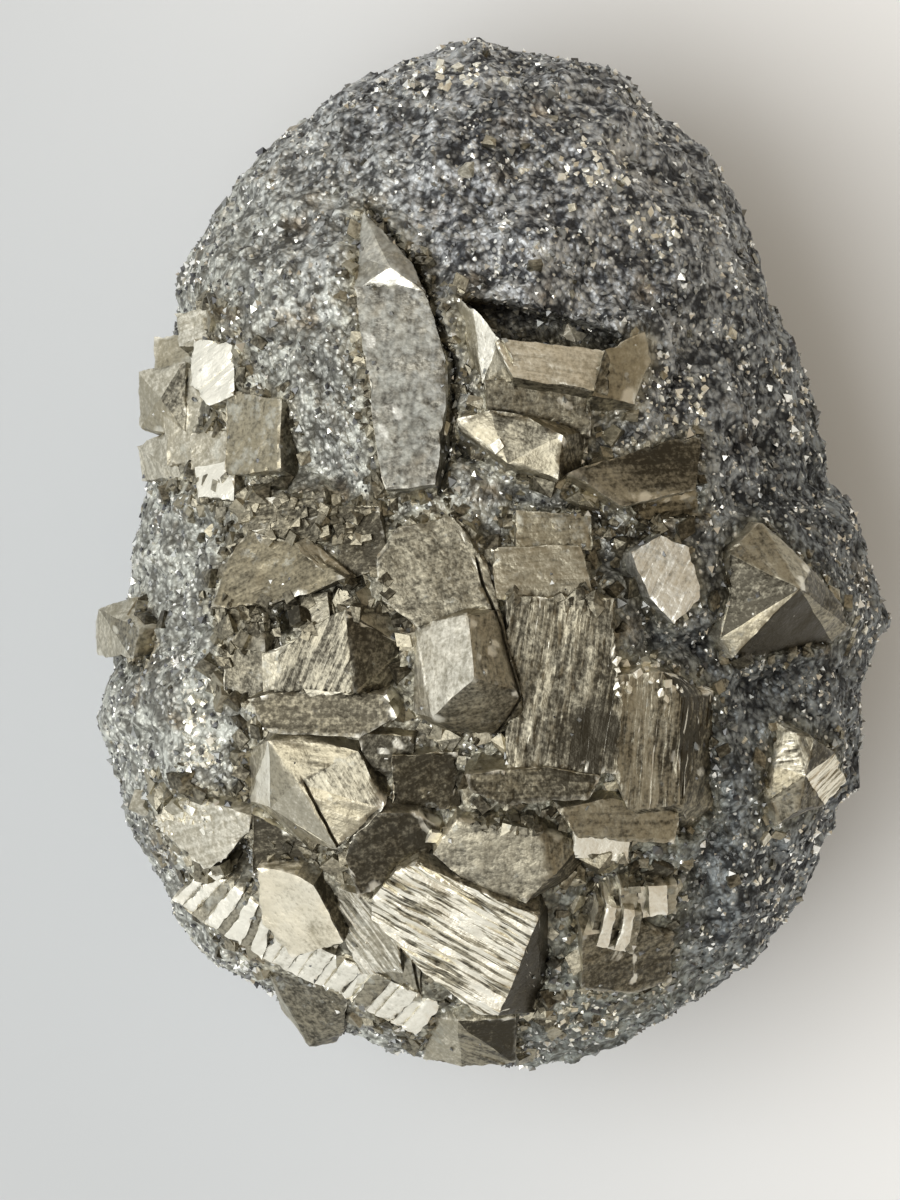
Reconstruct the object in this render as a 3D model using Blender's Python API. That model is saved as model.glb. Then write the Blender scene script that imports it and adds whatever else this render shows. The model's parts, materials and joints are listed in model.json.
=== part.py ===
"""Marcasite nodule: an egg-shaped lump of granular iron sulphide with brassy crystals set in it.

Metres, +Z up. The nodule lies on a small flat spot at z = 0, with its narrow end to +Y, and the
origin is under the middle of its bounding box. Plans and heights below are in millimetres.
"""
import math

import bmesh
import bpy
import numpy as np
from mathutils import Euler, Matrix, Vector, noise

OBJECT_NAME = "marcasite_nodule"
MM = 0.001

# Sizes of the whole nodule, in millimetres
WAIST_HEIGHT = 16.0        # height of the widest outline above the flat spot
CROWN_HEIGHT = 19.5        # from the widest outline up to the top of the dome
KEEL_DEPTH = 16.8          # from the widest outline down; the flat spot cuts the rest off
FULLNESS = 2.2             # 2 is an ellipse in section, more is squarer
SKIN_DETAIL = 5            # icosphere levels of the granular body
SKIN_SHARE = 0.6           # share of its triangles that its lumps need

# Lumps of the granular body: size of a lump, and how far it stands out
LUMP_SIZE = 9.0
LUMP_RISE = 1.5
KNUCKLE_SIZE = 3.6
KNUCKLE_RISE = 1.0

# Crystals
GAP = 0.3                  # clear space between a crystal and the pocket that it sits in
ROOT_DEPTH = 4.0           # how far a crystal reaches in under the skin
ROOT_FLARE = 0.4           # a crystal is this much wider at its root, all round
POCKET_HEADROOM = 4.0      # a pocket is open this far above the crystal
STEP_OVERLAP = 0.15        # share of a narrow step that reaches into its neighbours

# Hollows left by crystals that have come out, and the block that a pocket is cut from
HOLLOW_TAPER = 0.75        # a hollow's floor, as a share of its mouth
BLANK_SIZE = 200.0         # wider than the nodule

# Crystals of the hidden sides
SIDE_HEIGHT = 0.8          # height of a side crystal, as a share of its width
SIDE_SINK = 0.9            # how far its middle is under the skin

# Outline seen from above, anticlockwise from the right, in millimetres from the middle
OUTLINE = [
    (22.4, 0.2), (21.3, 2.6), (19.9, 4.1), (19.4, 6.6), (18.9, 9.0), (17.7, 12.2), (16.5, 14.6),
    (15.6, 17.8), (14.9, 20.4), (12.9, 23.6), (9.4, 26.3), (8.0, 28.0), (4.3, 29.4), (2.0, 29.8),
    (-0.6, 30.6), (-3.7, 29.8), (-5.9, 28.8), (-8.5, 27.7), (-10.4, 26.0), (-12.7, 24.2),
    (-14.9, 22.0), (-16.7, 19.7), (-18.4, 16.2), (-18.5, 13.8), (-19.0, 10.3), (-19.4, 6.1),
    (-20.6, 2.0), (-21.5, -1.7), (-22.5, -6.9), (-23.3, -10.2), (-22.6, -12.6), (-21.2, -16.9),
    (-19.1, -20.3), (-16.2, -24.6), (-13.6, -26.1), (-10.6, -27.6), (-8.3, -28.8), (-5.9, -29.9),
    (-1.2, -30.4), (1.3, -30.6), (3.7, -30.3), (8.3, -29.2), (12.7, -26.2), (15.9, -23.7),
    (18.6, -20.3), (20.8, -15.3), (21.8, -13.9), (21.9, -8.3), (22.5, -6.0), (23.4, -4.0),
]

# Colours and finish: linear base colour, metallic, roughness
FINISHES = {
    "granular_sulphide": ((0.20, 0.21, 0.20), 0.75, 0.50),
    "brassy_crystal": ((0.42, 0.38, 0.27), 1.0, 0.30),
    "pale_crystal": ((0.55, 0.53, 0.45), 1.0, 0.28),
    "brown_crystal": ((0.24, 0.20, 0.13), 1.0, 0.36),
}


def clear_scene():
    """Removes what the scene starts with."""
    for item in list(bpy.context.scene.objects):
        bpy.data.objects.remove(item, do_unlink=True)


def make_collection(name):
    """A new collection in the scene."""
    group = bpy.data.collections.new(name)
    bpy.context.scene.collection.children.link(group)
    return group


def make_material(name):
    """A Principled material with the colour and finish of one kind of surface."""
    colour, metallic, roughness = FINISHES[name]
    material = bpy.data.materials.new(name)
    material.use_nodes = True
    shader = material.node_tree.nodes["Principled BSDF"]
    shader.inputs["Base Color"].default_value = (*colour, 1.0)
    shader.inputs["Metallic"].default_value = metallic
    shader.inputs["Roughness"].default_value = roughness
    material.diffuse_color = (*colour, 1.0)
    return material


# The smooth form under the lumps

OUTLINE_ANGLES = np.array([math.atan2(y, x) % math.tau for x, y in OUTLINE])
OUTLINE_RADII = np.array([math.hypot(x, y) for x, y in OUTLINE])
CORE = Vector((0.0, 0.0, WAIST_HEIGHT))


def outline_radius(x, y):
    """Distance from the middle to the outline, in the direction of a place in plan."""
    angle = math.atan2(y, x) % math.tau
    return float(np.interp(angle, OUTLINE_ANGLES, OUTLINE_RADII, period=math.tau))


def skin_height(x, y):
    """Height of the smooth upper skin over a place in plan; the waist's height outside it."""
    reach = min(1.0, math.hypot(x, y) / outline_radius(x, y))
    return WAIST_HEIGHT + CROWN_HEIGHT * (1.0 - reach ** FULLNESS) ** (1.0 / FULLNESS)


def skin_slope(x, y):
    """Slope of the skin along X and Y, held to what a crystal face there would follow."""
    step = 0.5
    steepest = 0.9
    along_x = (skin_height(x + step, y) - skin_height(x - step, y)) / (2.0 * step)
    along_y = (skin_height(x, y + step) - skin_height(x, y - step)) / (2.0 * step)
    limit = max(1.0, math.hypot(along_x, along_y) / steepest)
    return along_x / limit, along_y / limit


def skin_point(direction):
    """The point of the lumpy skin that a direction on the unit sphere is drawn out to."""
    across = math.hypot(direction.x, direction.y)
    upward = abs(direction.z)
    scale = (across ** FULLNESS + upward ** FULLNESS) ** (-1.0 / FULLNESS)
    reach = outline_radius(direction.x, direction.y) * scale
    height = (CROWN_HEIGHT if direction.z > 0.0 else KEEL_DEPTH) * scale
    smooth = Vector((direction.x * reach, direction.y * reach, direction.z * height))
    swell = LUMP_RISE * noise.noise(smooth / LUMP_SIZE)
    swell += KNUCKLE_RISE * noise.noise(smooth / KNUCKLE_SIZE)
    # the outline keeps its size, so lumps fade out at the waist
    swell *= min(1.0, 0.25 + 1.2 * upward)
    return CORE + smooth + direction * swell


def skin_distance(point):
    """Distance from the core to the smooth skin, on the ray through a point."""
    ray = (point - CORE).normalized()
    across = math.hypot(ray.x, ray.y) / outline_radius(ray.x, ray.y)
    upward = abs(ray.z) / (CROWN_HEIGHT if ray.z > 0.0 else KEEL_DEPTH)
    return (across ** FULLNESS + upward ** FULLNESS) ** (-1.0 / FULLNESS)


def granular_body():
    """The body: an icosphere drawn out to the outline, with its lumps."""
    shape = bmesh.new()
    bmesh.ops.create_icosphere(shape, subdivisions=SKIN_DETAIL, radius=1.0)
    for vert in shape.verts:
        vert.co = skin_point(vert.co.normalized()) * MM
    return shape


def cut_side(shape, place, outward):
    """Cuts a closed shape off flat at a plane and closes the cut with one face."""
    everything = shape.verts[:] + shape.edges[:] + shape.faces[:]
    cut = bmesh.ops.bisect_plane(
        shape, geom=everything, dist=1e-7, plane_co=place, plane_no=outward, clear_outer=True)
    rim = [item for item in cut["geom_cut"] if isinstance(item, bmesh.types.BMEdge)]
    if rim:
        bmesh.ops.edgeloop_fill(shape, edges=rim)


def cut_flat_spot(item):
    """Cuts the underside off at z = 0, where the nodule rests."""
    shape = bmesh.new()
    shape.from_mesh(item.data)
    cut_side(shape, (0.0, 0.0, 0.0), (0.0, 0.0, -1.0))
    bmesh.ops.recalc_face_normals(shape, faces=shape.faces[:])
    shape.to_mesh(item.data)
    shape.free()


# Crystals: each block is the convex hull of its corners and of the same corners at its root

def face(outline, rise, slope=(0.0, 0.0)):
    """Corners of one flat crystal face: its outline in plan, its rise above the skin at its
    middle, and its slope along X and Y measured from the slope of the skin there."""
    middle_x = sum(x for x, _ in outline) / len(outline)
    middle_y = sum(y for _, y in outline) / len(outline)
    base = skin_height(middle_x, middle_y) + rise
    skin_x, skin_y = skin_slope(middle_x, middle_y)
    slope_x = skin_x + slope[0]
    slope_y = skin_y + slope[1]
    return [Vector((x, y, base + slope_x * (x - middle_x) + slope_y * (y - middle_y)))
            for x, y in outline]


def corners(*places):
    """Corners of a crystal, each with its own rise above the skin."""
    return [Vector((x, y, skin_height(x, y) + rise)) for x, y, rise in places]


def steps(start, end, count, rise, climb):
    """A flight of narrow steps between two edges, each edge given as (x, y) at both ends.
    Every second step stands out by climb. The flight is one crystal of several blocks."""
    blocks = []
    for index in range(count):
        low = max(0.0, index - STEP_OVERLAP) / count
        high = min(float(count), index + 1 + STEP_OVERLAP) / count
        outline = []
        for edge_start, edge_end in (start, end):
            for share in (low, high):
                outline.append((edge_start[0] + (edge_end[0] - edge_start[0]) * share,
                                edge_start[1] + (edge_end[1] - edge_start[1]) * share))
        outline[2], outline[3] = outline[3], outline[2]
        blocks.append(face(outline, rise + climb * (index % 2)))
    return blocks


def hull(points):
    """The convex block around some points, with its flat faces whole."""
    shape = bmesh.new()
    for point in points:
        shape.verts.new(point)
    made = bmesh.ops.convex_hull(shape, input=shape.verts[:])
    spare = {item for item in made["geom_interior"] + made["geom_unused"]
             if isinstance(item, bmesh.types.BMVert)}
    bmesh.ops.delete(shape, geom=list(spare), context="VERTS")
    bmesh.ops.dissolve_limit(
        shape, angle_limit=math.radians(0.5), verts=shape.verts[:], edges=shape.edges[:])
    bmesh.ops.recalc_face_normals(shape, faces=shape.faces[:])
    return shape


def crystal_points(block, headroom=0.0):
    """The corners of a crystal block, raised by some headroom, and its flared root corners."""
    middle = sum(block, Vector()) / len(block)
    points = []
    for corner in block:
        outward = (corner - CORE).normalized()
        points.append(corner + outward * headroom)
        root = corner + (corner - middle).normalized() * ROOT_FLARE
        distance = min((root - CORE).length, skin_distance(root)) - ROOT_DEPTH
        points.append(CORE + (root - CORE).normalized() * distance)
    return points


def crystal_block(block):
    """One convex crystal."""
    shape = hull(crystal_points(block))
    bmesh.ops.scale(shape, vec=(MM, MM, MM), verts=shape.verts[:])
    return shape


def pocket_block(blocks):
    """The room that some blocks take in the body: each face of their hull moved out by the gap."""
    points = []
    for block in blocks:
        points += crystal_points(block, POCKET_HEADROOM)
    tight = hull(points)
    room = bmesh.new()
    bmesh.ops.create_cube(room, size=BLANK_SIZE)
    for side in tight.faces:
        cut_side(room, side.calc_center_median() + side.normal * GAP, side.normal)
    tight.free()
    bmesh.ops.recalc_face_normals(room, faces=room.faces[:])
    bmesh.ops.scale(room, vec=(MM, MM, MM), verts=room.verts[:])
    return room


# The crystals, group by group: a group is a list of crystals, a crystal is a list of blocks

def tall_crystal():
    """The long pitted crystal on the upper left: a pointed cap on a long shaft."""
    cap = corners((-7.4, 19.7, 0.3), (-5.4, 17.6, 1.0), (-4.6, 16.6, 1.2), (-5.8, 16.2, 2.0),
                  (-7.5, 16.9, 1.0), (-7.9, 14.9, 1.0), (-3.9, 14.9, 1.3))
    shaft = face([(-7.9, 15.2), (-3.9, 15.2), (-2.5, 10.6), (-2.7, 7.3), (-3.2, 3.7),
                  (-6.2, 3.3)], 0.9, (0.08, 0.0))
    return [[cap], [shaft]]


def upper_crystals():
    """The saddle under the lens-shaped cavity, the crystal below it and the dark shelf."""
    horn = corners((-2.2, 14.7, 1.0), (-1.0, 13.8, 1.8), (0.5, 12.2, 2.6), (1.3, 10.9, 2.9),
                   (1.1, 9.6, 2.0), (-0.5, 9.5, 0.7), (-1.3, 11.5, 0.5))
    saddle = face([(0.2, 12.1), (3.4, 11.4), (7.0, 11.5), (6.7, 8.9), (3.2, 9.7), (1.2, 9.8)],
                  2.4, (0.0, -0.12))
    saddle_end = face([(6.6, 11.5), (8.9, 12.5), (9.2, 10.8), (8.3, 8.3), (5.8, 8.8)],
                      2.2, (-0.18, 0.1))
    under_saddle = face([(-0.4, 9.7), (1.9, 9.8), (5.8, 9.0), (5.7, 6.5), (1.9, 7.7), (-0.3, 7.9)],
                        1.3, (0.0, 0.3))
    middle = corners((-2.0, 7.4, 1.2), (-0.1, 8.0, 1.6), (1.9, 7.6, 1.9), (4.0, 6.5, 2.3),
                     (3.8, 4.0, 1.9), (1.0, 4.9, 1.5), (-0.3, 6.0, 1.1), (-1.9, 6.8, 0.9),
                     (5.7, 7.0, 0.4), (5.6, 4.5, 0.2))
    shelf = face([(4.3, 4.4), (7.5, 5.4), (10.0, 6.2), (12.2, 6.5), (11.8, 3.5), (7.6, 2.5)],
                 1.4, (0.0, -0.35))
    under_shelf = face([(7.9, 3.2), (12.0, 3.7), (12.0, 1.9), (8.3, 1.6)], 0.5, (0.0, 0.1))
    return [[horn], [saddle, saddle_end], [under_saddle], [middle], [shelf, under_shelf]]


def keystone_crystals():
    """The wedge with its cube corner towards the viewer, and what stands around it."""
    keystone = corners((-1.0, -7.3, 5.4), (-1.4, -3.7, 3.5), (-3.4, -9.6, 3.3), (1.7, -8.2, 3.3),
                       (-4.3, -4.3, 1.3), (-4.4, -9.4, 1.6), (0.5, -3.6, 2.1), (1.8, -9.4, 2.0),
                       (0.4, -10.6, 1.6), (-2.4, -10.4, 1.6))
    shoulder = face([(-5.3, 1.3), (-2.3, 1.9), (-0.3, -0.5), (0.4, -3.5), (-1.4, -3.9),
                     (-4.3, -4.5), (-6.2, -2.9), (-6.7, -0.5)], 1.5, (0.0, -0.12))
    shoulder_back = face([(-9.6, 2.6), (-6.4, 2.4), (-5.8, -1.0), (-8.4, -1.8)], 0.9, (0.1, -0.1))
    block_below = face([(-5.7, -11.9), (-1.9, -11.6), (-1.7, -14.9), (-5.7, -14.9)],
                       1.1, (-0.2, 0.15))
    return [[keystone], [shoulder, shoulder_back], [block_below]]


def striated_columns():
    """The striated faces right of the keystone, with the steps above and the ledges below."""
    back_step = face([(1.4, 2.1), (5.7, 2.1), (5.8, -0.1), (1.4, -0.1)], 0.7, (0.0, -0.1))
    middle_step = face([(0.1, 0.1), (5.2, 0.3), (5.8, -2.8), (3.1, -3.2), (0.2, -2.9)],
                       1.4, (0.0, -0.16))
    first_column = face([(0.8, -2.7), (6.9, -2.8), (7.5, -8.9), (7.3, -12.9), (0.9, -12.9)],
                        2.1, (0.08, -0.04))
    second_column = face([(7.2, -7.2), (9.8, -7.0), (10.9, -8.6), (10.9, -14.7), (7.9, -15.0),
                          (7.0, -12.5)], 2.0, (0.05, 0.0))
    second_column += corners((13.2, -8.2, -0.3), (13.2, -14.9, -0.3), (11.9, -16.6, -0.3))
    first_ledge = face([(-1.5, -12.9), (3.0, -12.5), (6.4, -12.9), (5.6, -14.3), (1.0, -14.7),
                        (-1.2, -13.9)], 2.7, (0.0, -0.2))
    second_ledge = face([(3.7, -14.9), (7.0, -14.3), (11.0, -15.2), (10.6, -16.9), (5.0, -16.7)],
                        2.0, (0.0, -0.2))
    pink_facet = face([(4.7, -16.1), (8.2, -16.3), (7.9, -18.1), (4.9, -17.9)], 1.3, (0.1, 0.1))
    return [[back_step, middle_step], [first_column, first_ledge], [second_column],
            [second_ledge, pink_facet]]


def left_centre_crystals():
    """The brown faces, ribs and ledges left of the keystone."""
    brown_face = face([(-16.3, -3.4), (-15.2, -0.5), (-14.0, 1.1), (-11.2, 0.4), (-8.3, -1.7),
                       (-10.4, -2.5), (-12.8, -3.2)], 1.6, (0.0, -0.2))
    brown_steps = face([(-14.3, 3.0), (-9.6, 3.0), (-9.6, 0.4), (-14.3, 0.6)], 0.8, (0.0, -0.1))
    thin_ridge = corners((-11.2, 0.4, 1.5), (-10.6, 0.8, 0.9), (-7.8, -1.6, 1.5),
                         (-8.4, -2.2, 2.2), (-11.0, -0.2, 1.8))
    pale_lump = face([(-15.5, -3.9), (-13.1, -3.6), (-13.0, -5.9), (-15.6, -5.9)], 1.2, (0.1, 0.0))
    pale_patch = face([(-11.6, -2.8), (-9.4, -2.4), (-9.2, -4.4), (-11.4, -4.7)], 1.5, (0.1, -0.1))
    ribbed_crystal = face([(-12.3, -6.0), (-10.0, -4.2), (-8.3, -3.4), (-7.9, -8.3),
                           (-12.6, -8.7)], 1.9, (0.16, 0.0))
    ribbed_crystal += corners((-6.0, -3.4, 0.7), (-5.0, -5.6, 0.4), (-5.5, -8.1, 0.4))
    low_ribs = face([(-13.2, -6.0), (-10.8, -5.0), (-10.6, -8.6), (-13.2, -8.6)], 1.4, (0.1, 0.0))
    brown_corner = face([(-15.6, -5.7), (-12.8, -5.7), (-12.8, -8.5), (-15.4, -8.5)],
                        0.8, (0.0, 0.1))
    long_ledge = face([(-14.0, -8.6), (-10.8, -8.0), (-6.2, -8.3), (-5.4, -9.6), (-7.5, -10.8),
                       (-13.0, -10.6)], 2.1, (0.0, -0.22))
    blue_grain = face([(-7.6, -10.5), (-4.4, -10.7), (-4.5, -12.7), (-7.2, -12.8)],
                      1.5, (-0.1, 0.1))
    return [[brown_face, thin_ridge], [brown_steps], [pale_lump, brown_corner], [pale_patch],
            [ribbed_crystal, low_ribs], [long_ledge], [blue_grain]]


def lower_left_crystals():
    """The pale ridged crystal, the light plates beside it and the dark lozenge."""
    ridged = corners((-12.8, -11.0, 2.5), (-11.2, -13.4, 2.9), (-8.8, -17.3, 3.0),
                     (-6.1, -14.9, 2.6), (-7.6, -11.6, 1.9), (-11.3, -10.6, 2.0),
                     (-14.1, -11.6, 0.4), (-14.0, -14.6, 0.4), (-12.7, -14.9, 1.9),
                     (-10.9, -16.9, 1.2))
    light_plate = face([(-19.7, -16.1), (-18.8, -14.7), (-16.4, -14.6), (-13.9, -15.5),
                        (-14.1, -16.4), (-15.4, -17.9), (-16.7, -18.8), (-17.5, -17.9)],
                       1.5, (0.12, -0.1))
    dark_triangle = face([(-13.9, -15.3), (-10.5, -17.0), (-11.1, -19.0), (-13.8, -18.8)],
                         1.0, (-0.25, 0.0))
    cream_plate = face([(-13.6, -18.4), (-11.2, -18.8), (-10.2, -19.4), (-8.5, -22.8),
                        (-10.8, -23.4), (-11.6, -23.8), (-13.3, -21.8)], 1.9, (0.15, -0.05))
    lozenge = face([(-8.4, -17.9), (-8.1, -16.7), (-6.5, -15.2), (-4.1, -15.2), (-2.7, -16.1),
                    (-3.6, -17.5), (-5.4, -18.8), (-7.7, -20.2)], 1.9, (-0.35, 0.1))
    small_striated = face([(-8.8, -19.6), (-6.9, -20.2), (-5.3, -22.0), (-5.1, -24.6),
                           (-7.6, -24.8), (-8.9, -21.5)], 1.3, (0.1, 0.0))
    taupe_plate = face([(-9.0, -23.6), (-4.1, -23.9), (-4.0, -26.4), (-8.8, -26.2)],
                       0.9, (0.0, 0.0))
    return [[ridged], [light_plate], [dark_triangle, cream_plate], [lozenge],
            [small_striated, taupe_plate]]


def bottom_crystals():
    """The big bright striated crystal low in the middle, and the grey one above it."""
    bright = face([(-6.8, -20.1), (-5.4, -18.4), (-4.3, -18.1), (-1.4, -19.9), (2.8, -21.2),
                   (0.5, -27.1), (-0.8, -27.1), (-4.4, -24.1), (-6.9, -21.4)], 1.9, (0.2, 0.05))
    bright += corners((3.5, -20.5, 0.2), (3.5, -23.5, 0.2), (3.0, -27.1, 0.2))
    grey = face([(-3.4, -17.5), (-2.0, -15.6), (2.8, -16.2), (3.6, -18.8), (2.0, -20.4),
                 (-0.6, -19.8)], 2.2, (0.1, -0.1))
    grey += corners((5.6, -16.8, 0.3), (5.4, -18.6, 0.3))
    return [[bright], [grey]]


def rim_band():
    """The bright band of steps along the lower left rim, the knob under it and the dark block
    at its end."""
    upper = steps(((-18.8, -20.6), (-13.4, -24.0)), ((-16.5, -18.6), (-12.6, -21.3)),
                  8, 1.1, 0.2)
    lower = steps(((-13.5, -23.9), (-4.4, -28.5)), ((-12.4, -22.0), (-2.7, -26.6)),
                  12, 1.2, 0.2)
    knob = corners((-13.2, -24.6, 0.6), (-8.3, -25.9, 1.2), (-8.6, -28.4, 3.6),
                   (-9.2, -29.2, 4.6), (-10.7, -29.4, 5.2), (-12.4, -27.2, 4.0))
    end_block = corners((-3.4, -27.4, 0.6), (-1.9, -27.6, 2.2), (1.5, -27.4, 2.0),
                        (1.5, -30.3, 5.3), (-1.7, -30.4, 7.5), (-3.9, -30.1, 3.4))
    return [upper, lower, [knob], [end_block]]


def main_crystal_cluster():
    """All the crystals of the middle and the lower half, which have grown into each other."""
    return (keystone_crystals() + striated_columns() + left_centre_crystals()
            + lower_left_crystals() + bottom_crystals() + rim_band())


def left_edge_cluster():
    """The blocks and pale plates that stand out on the left edge."""
    top_plate = face([(-18.6, 14.0), (-15.5, 14.3), (-15.2, 11.9), (-18.4, 11.9)], 1.0)
    brown_block = face([(-19.9, 12.7), (-17.0, 12.8), (-16.8, 10.2), (-19.9, 10.4)], 2.6)
    white_plate = face([(-17.4, 12.4), (-15.0, 12.2), (-14.9, 9.0), (-16.4, 8.4), (-17.5, 9.6)],
                       1.5, (0.1, -0.1))
    banded_block = corners((-20.8, 10.6, 7.0), (-18.0, 11.1, 2.9), (-17.8, 6.9, 1.3),
                           (-20.8, 7.2, 6.5), (-19.4, 9.0, 9.0))
    round_block = face([(-19.3, 10.6), (-16.2, 10.8), (-16.7, 5.0), (-19.0, 5.0)],
                       1.4, (-0.1, 0.0))
    low_block = corners((-20.9, 6.2, 5.5), (-18.4, 7.4, 1.6), (-18.2, 4.2, 1.2),
                        (-20.6, 4.2, 5.0))
    khaki_block = face([(-17.6, 6.9), (-14.7, 6.9), (-14.7, 4.7), (-17.5, 4.7)], 1.2)
    white_patch = face([(-17.4, 5.5), (-14.7, 5.5), (-14.9, 2.9), (-17.0, 2.9)], 1.0, (0.1, 0.0))
    smooth_flat = face([(-15.4, 9.3), (-12.1, 8.7), (-12.1, 4.5), (-15.4, 4.4)], 0.7)
    return [[top_plate, brown_block], [white_plate], [banded_block, low_block], [round_block],
            [khaki_block, white_patch], [smooth_flat]]


def pale_crystal():
    """The pitted silver-grey crystal right of the middle."""
    outline = [(8.0, -0.2), (9.8, 0.8), (11.4, 0.1), (12.2, -2.7), (10.5, -4.3), (9.1, -2.7)]
    return [[face(outline, 1.3, (0.12, -0.05))]]


def pyramid_crystal():
    """The big pyramid on the right: a pale face to the left, brown faces right and below."""
    return [[corners(
        (17.8, -2.3, 4.4), (15.6, 1.7, 1.2), (13.9, -0.3, 0.4), (13.7, -3.4, 0.4),
        (13.3, -5.1, 0.3), (13.9, -6.3, 0.4), (16.6, -6.0, 0.4), (20.1, -5.4, 1.0),
        (21.2, -4.6, 2.0), (20.5, -3.2, 2.4), (18.5, -1.0, 3.4))]]


def nugget():
    """The bright lumpy knob on the lower right edge."""
    return [[corners(
        (16.5, -12.5, 0.8), (17.4, -10.6, 1.2), (18.8, -11.0, 2.8), (20.2, -11.8, 3.2),
        (20.9, -13.6, 3.6), (19.6, -14.9, 3.6), (18.0, -15.2, 3.0), (16.6, -16.2, 1.0),
        (16.3, -14.6, 1.0), (18.3, -13.1, 3.2))]]


def stepped_cluster():
    """The striped steps on the lower right, with the smooth brown body below them."""
    stripes = steps(((6.8, -21.6), (11.0, -21.2)), ((6.9, -19.6), (10.9, -19.4)), 5, 1.0, 0.5)
    ribs = steps(((5.6, -22.9), (8.4, -23.6)), ((6.2, -20.6), (8.9, -20.9)), 5, 1.5, 0.4)
    body = face([(5.3, -22.4), (8.6, -21.8), (10.8, -22.4), (10.6, -25.4), (8.4, -26.0),
                 (5.3, -25.6)], 1.3, (-0.1, 0.1))
    return [stripes, ribs, [body]]


def tip_crystal():
    """The brown crystal on the left tip."""
    return [[corners(
        (-23.3, -3.4, 4.0), (-21.2, -2.8, 1.2), (-20.6, -4.6, 1.2), (-21.0, -6.4, 1.2),
        (-23.4, -6.2, 3.5), (-23.6, -4.6, 1.0))]]


def side_crystal(azimuth, elevation, width, length, tilt, twist):
    """A blocky crystal on the side of the nodule, where the view from above does not reach.
    Its middle is just under the skin, and it leans by tilt off the skin, turned by twist."""
    turn = Euler((0.0, math.radians(90.0 - elevation), math.radians(azimuth))).to_quaternion()
    outward = turn @ Vector((0.0, 0.0, 1.0))
    turn = turn @ Euler((math.radians(tilt), 0.0, math.radians(twist))).to_quaternion()
    middle = CORE + outward * (skin_distance(CORE + outward) - SIDE_SINK)
    block = []
    for across in (-0.5, 0.5):
        for along in (-0.5, 0.5):
            for up in (-0.5, 0.5):
                size = Vector((width, length, SIDE_HEIGHT * width))
                block.append(middle + turn @ (Vector((across, along, up)) * size))
    return [[block]]


def hollow_block(outline, depth):
    """The room of a hollow: wide at the skin, a little narrower at its floor."""
    middle_x = sum(x for x, _ in outline) / len(outline)
    middle_y = sum(y for _, y in outline) / len(outline)
    points = []
    for x, y in outline:
        skin = skin_height(x, y)
        points.append(Vector((x, y, skin + POCKET_HEADROOM)))
        points.append(Vector((x, y, skin)))
        points.append(Vector((middle_x + (x - middle_x) * HOLLOW_TAPER,
                              middle_y + (y - middle_y) * HOLLOW_TAPER, skin - depth)))
    shape = hull(points)
    bmesh.ops.scale(shape, vec=(MM, MM, MM), verts=shape.verts[:])
    return shape


def hollows():
    """Hollows in the body where crystals have come out: the lens over the saddle, the small
    square hole beside the middle crystal, and the dark pits between the lower crystals."""
    lens = hollow_block([(-1.9, 14.6), (1.0, 14.4), (5.0, 13.4), (8.0, 12.4), (7.0, 11.5),
                         (3.4, 11.2), (0.4, 12.2)], 3.2)
    square_hole = hollow_block([(-2.3, 6.8), (-0.6, 6.5), (-0.7, 4.9), (-2.2, 5.0)], 2.2)
    pits = [
        [(-16.2, -16.4), (-14.0, -16.6), (-13.5, -19.8), (-15.4, -20.6)],
        [(-11.6, -23.8), (-8.6, -22.8), (-8.8, -24.6), (-11.2, -25.2)],
        [(-12.3, -3.2), (-11.1, -3.2), (-11.2, -4.9), (-12.2, -4.9)],
    ]
    return [lens, square_hole] + [hollow_block(outline, 2.4) for outline in pits]


# The hidden sides: azimuth, elevation, width, length, tilt and twist of a crystal there
SIDE_CRYSTALS = {
    "left_side_crystal": (208.0, -17.0, 4.2, 5.6, 24.0, 30.0),
    "front_side_crystal": (292.0, -16.0, 5.0, 4.4, -22.0, 15.0),
    "right_side_crystal": (338.0, -18.0, 4.6, 6.0, 20.0, -35.0),
    "back_side_crystal": (112.0, -15.0, 5.2, 4.6, 26.0, 50.0),
}

GROUPS = {
    "main_crystal_cluster": (main_crystal_cluster, "brassy_crystal"),
    "upper_crystals": (upper_crystals, "brassy_crystal"),
    "tall_crystal": (tall_crystal, "pale_crystal"),
    "left_edge_cluster": (left_edge_cluster, "brassy_crystal"),
    "pale_crystal": (pale_crystal, "pale_crystal"),
    "pyramid_crystal": (pyramid_crystal, "brown_crystal"),
    "nugget": (nugget, "brassy_crystal"),
    "stepped_cluster": (stepped_cluster, "brassy_crystal"),
    "tip_crystal": (tip_crystal, "brown_crystal"),
}


# Putting the shapes together

def make_object(name, shape, collection):
    """An object from a bmesh, which is freed."""
    mesh = bpy.data.meshes.new(name)
    shape.to_mesh(mesh)
    shape.free()
    item = bpy.data.objects.new(name, mesh)
    collection.objects.link(item)
    return item


def mark_as_cutter(item):
    """Sets an object to be only a cutting tool."""
    item.hide_render = True
    item.display_type = "WIRE"


def keep_result(item):
    """Makes what an object's modifiers give its own mesh."""
    bpy.context.view_layer.update()
    evaluated = item.evaluated_get(bpy.context.evaluated_depsgraph_get())
    result = bpy.data.meshes.new_from_object(evaluated)
    old = item.data
    item.modifiers.clear()
    item.data = result
    bpy.data.meshes.remove(old)


def apply_boolean(target, tool, operation):
    """Joins or cuts a solid with another and keeps the result as its mesh."""
    modifier = target.modifiers.new(operation.lower(), "BOOLEAN")
    modifier.operation = operation
    modifier.solver = "EXACT"
    modifier.object = tool
    keep_result(target)


def joined_solid(name, shapes, collection):
    """One solid from overlapping convex blocks."""
    solid = make_object(name, shapes[0], collection)
    for shape in shapes[1:]:
        block = make_object(name + "_block", shape, collection)
        apply_boolean(solid, block, "UNION")
        bpy.data.objects.remove(block, do_unlink=True)
    return solid


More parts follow.
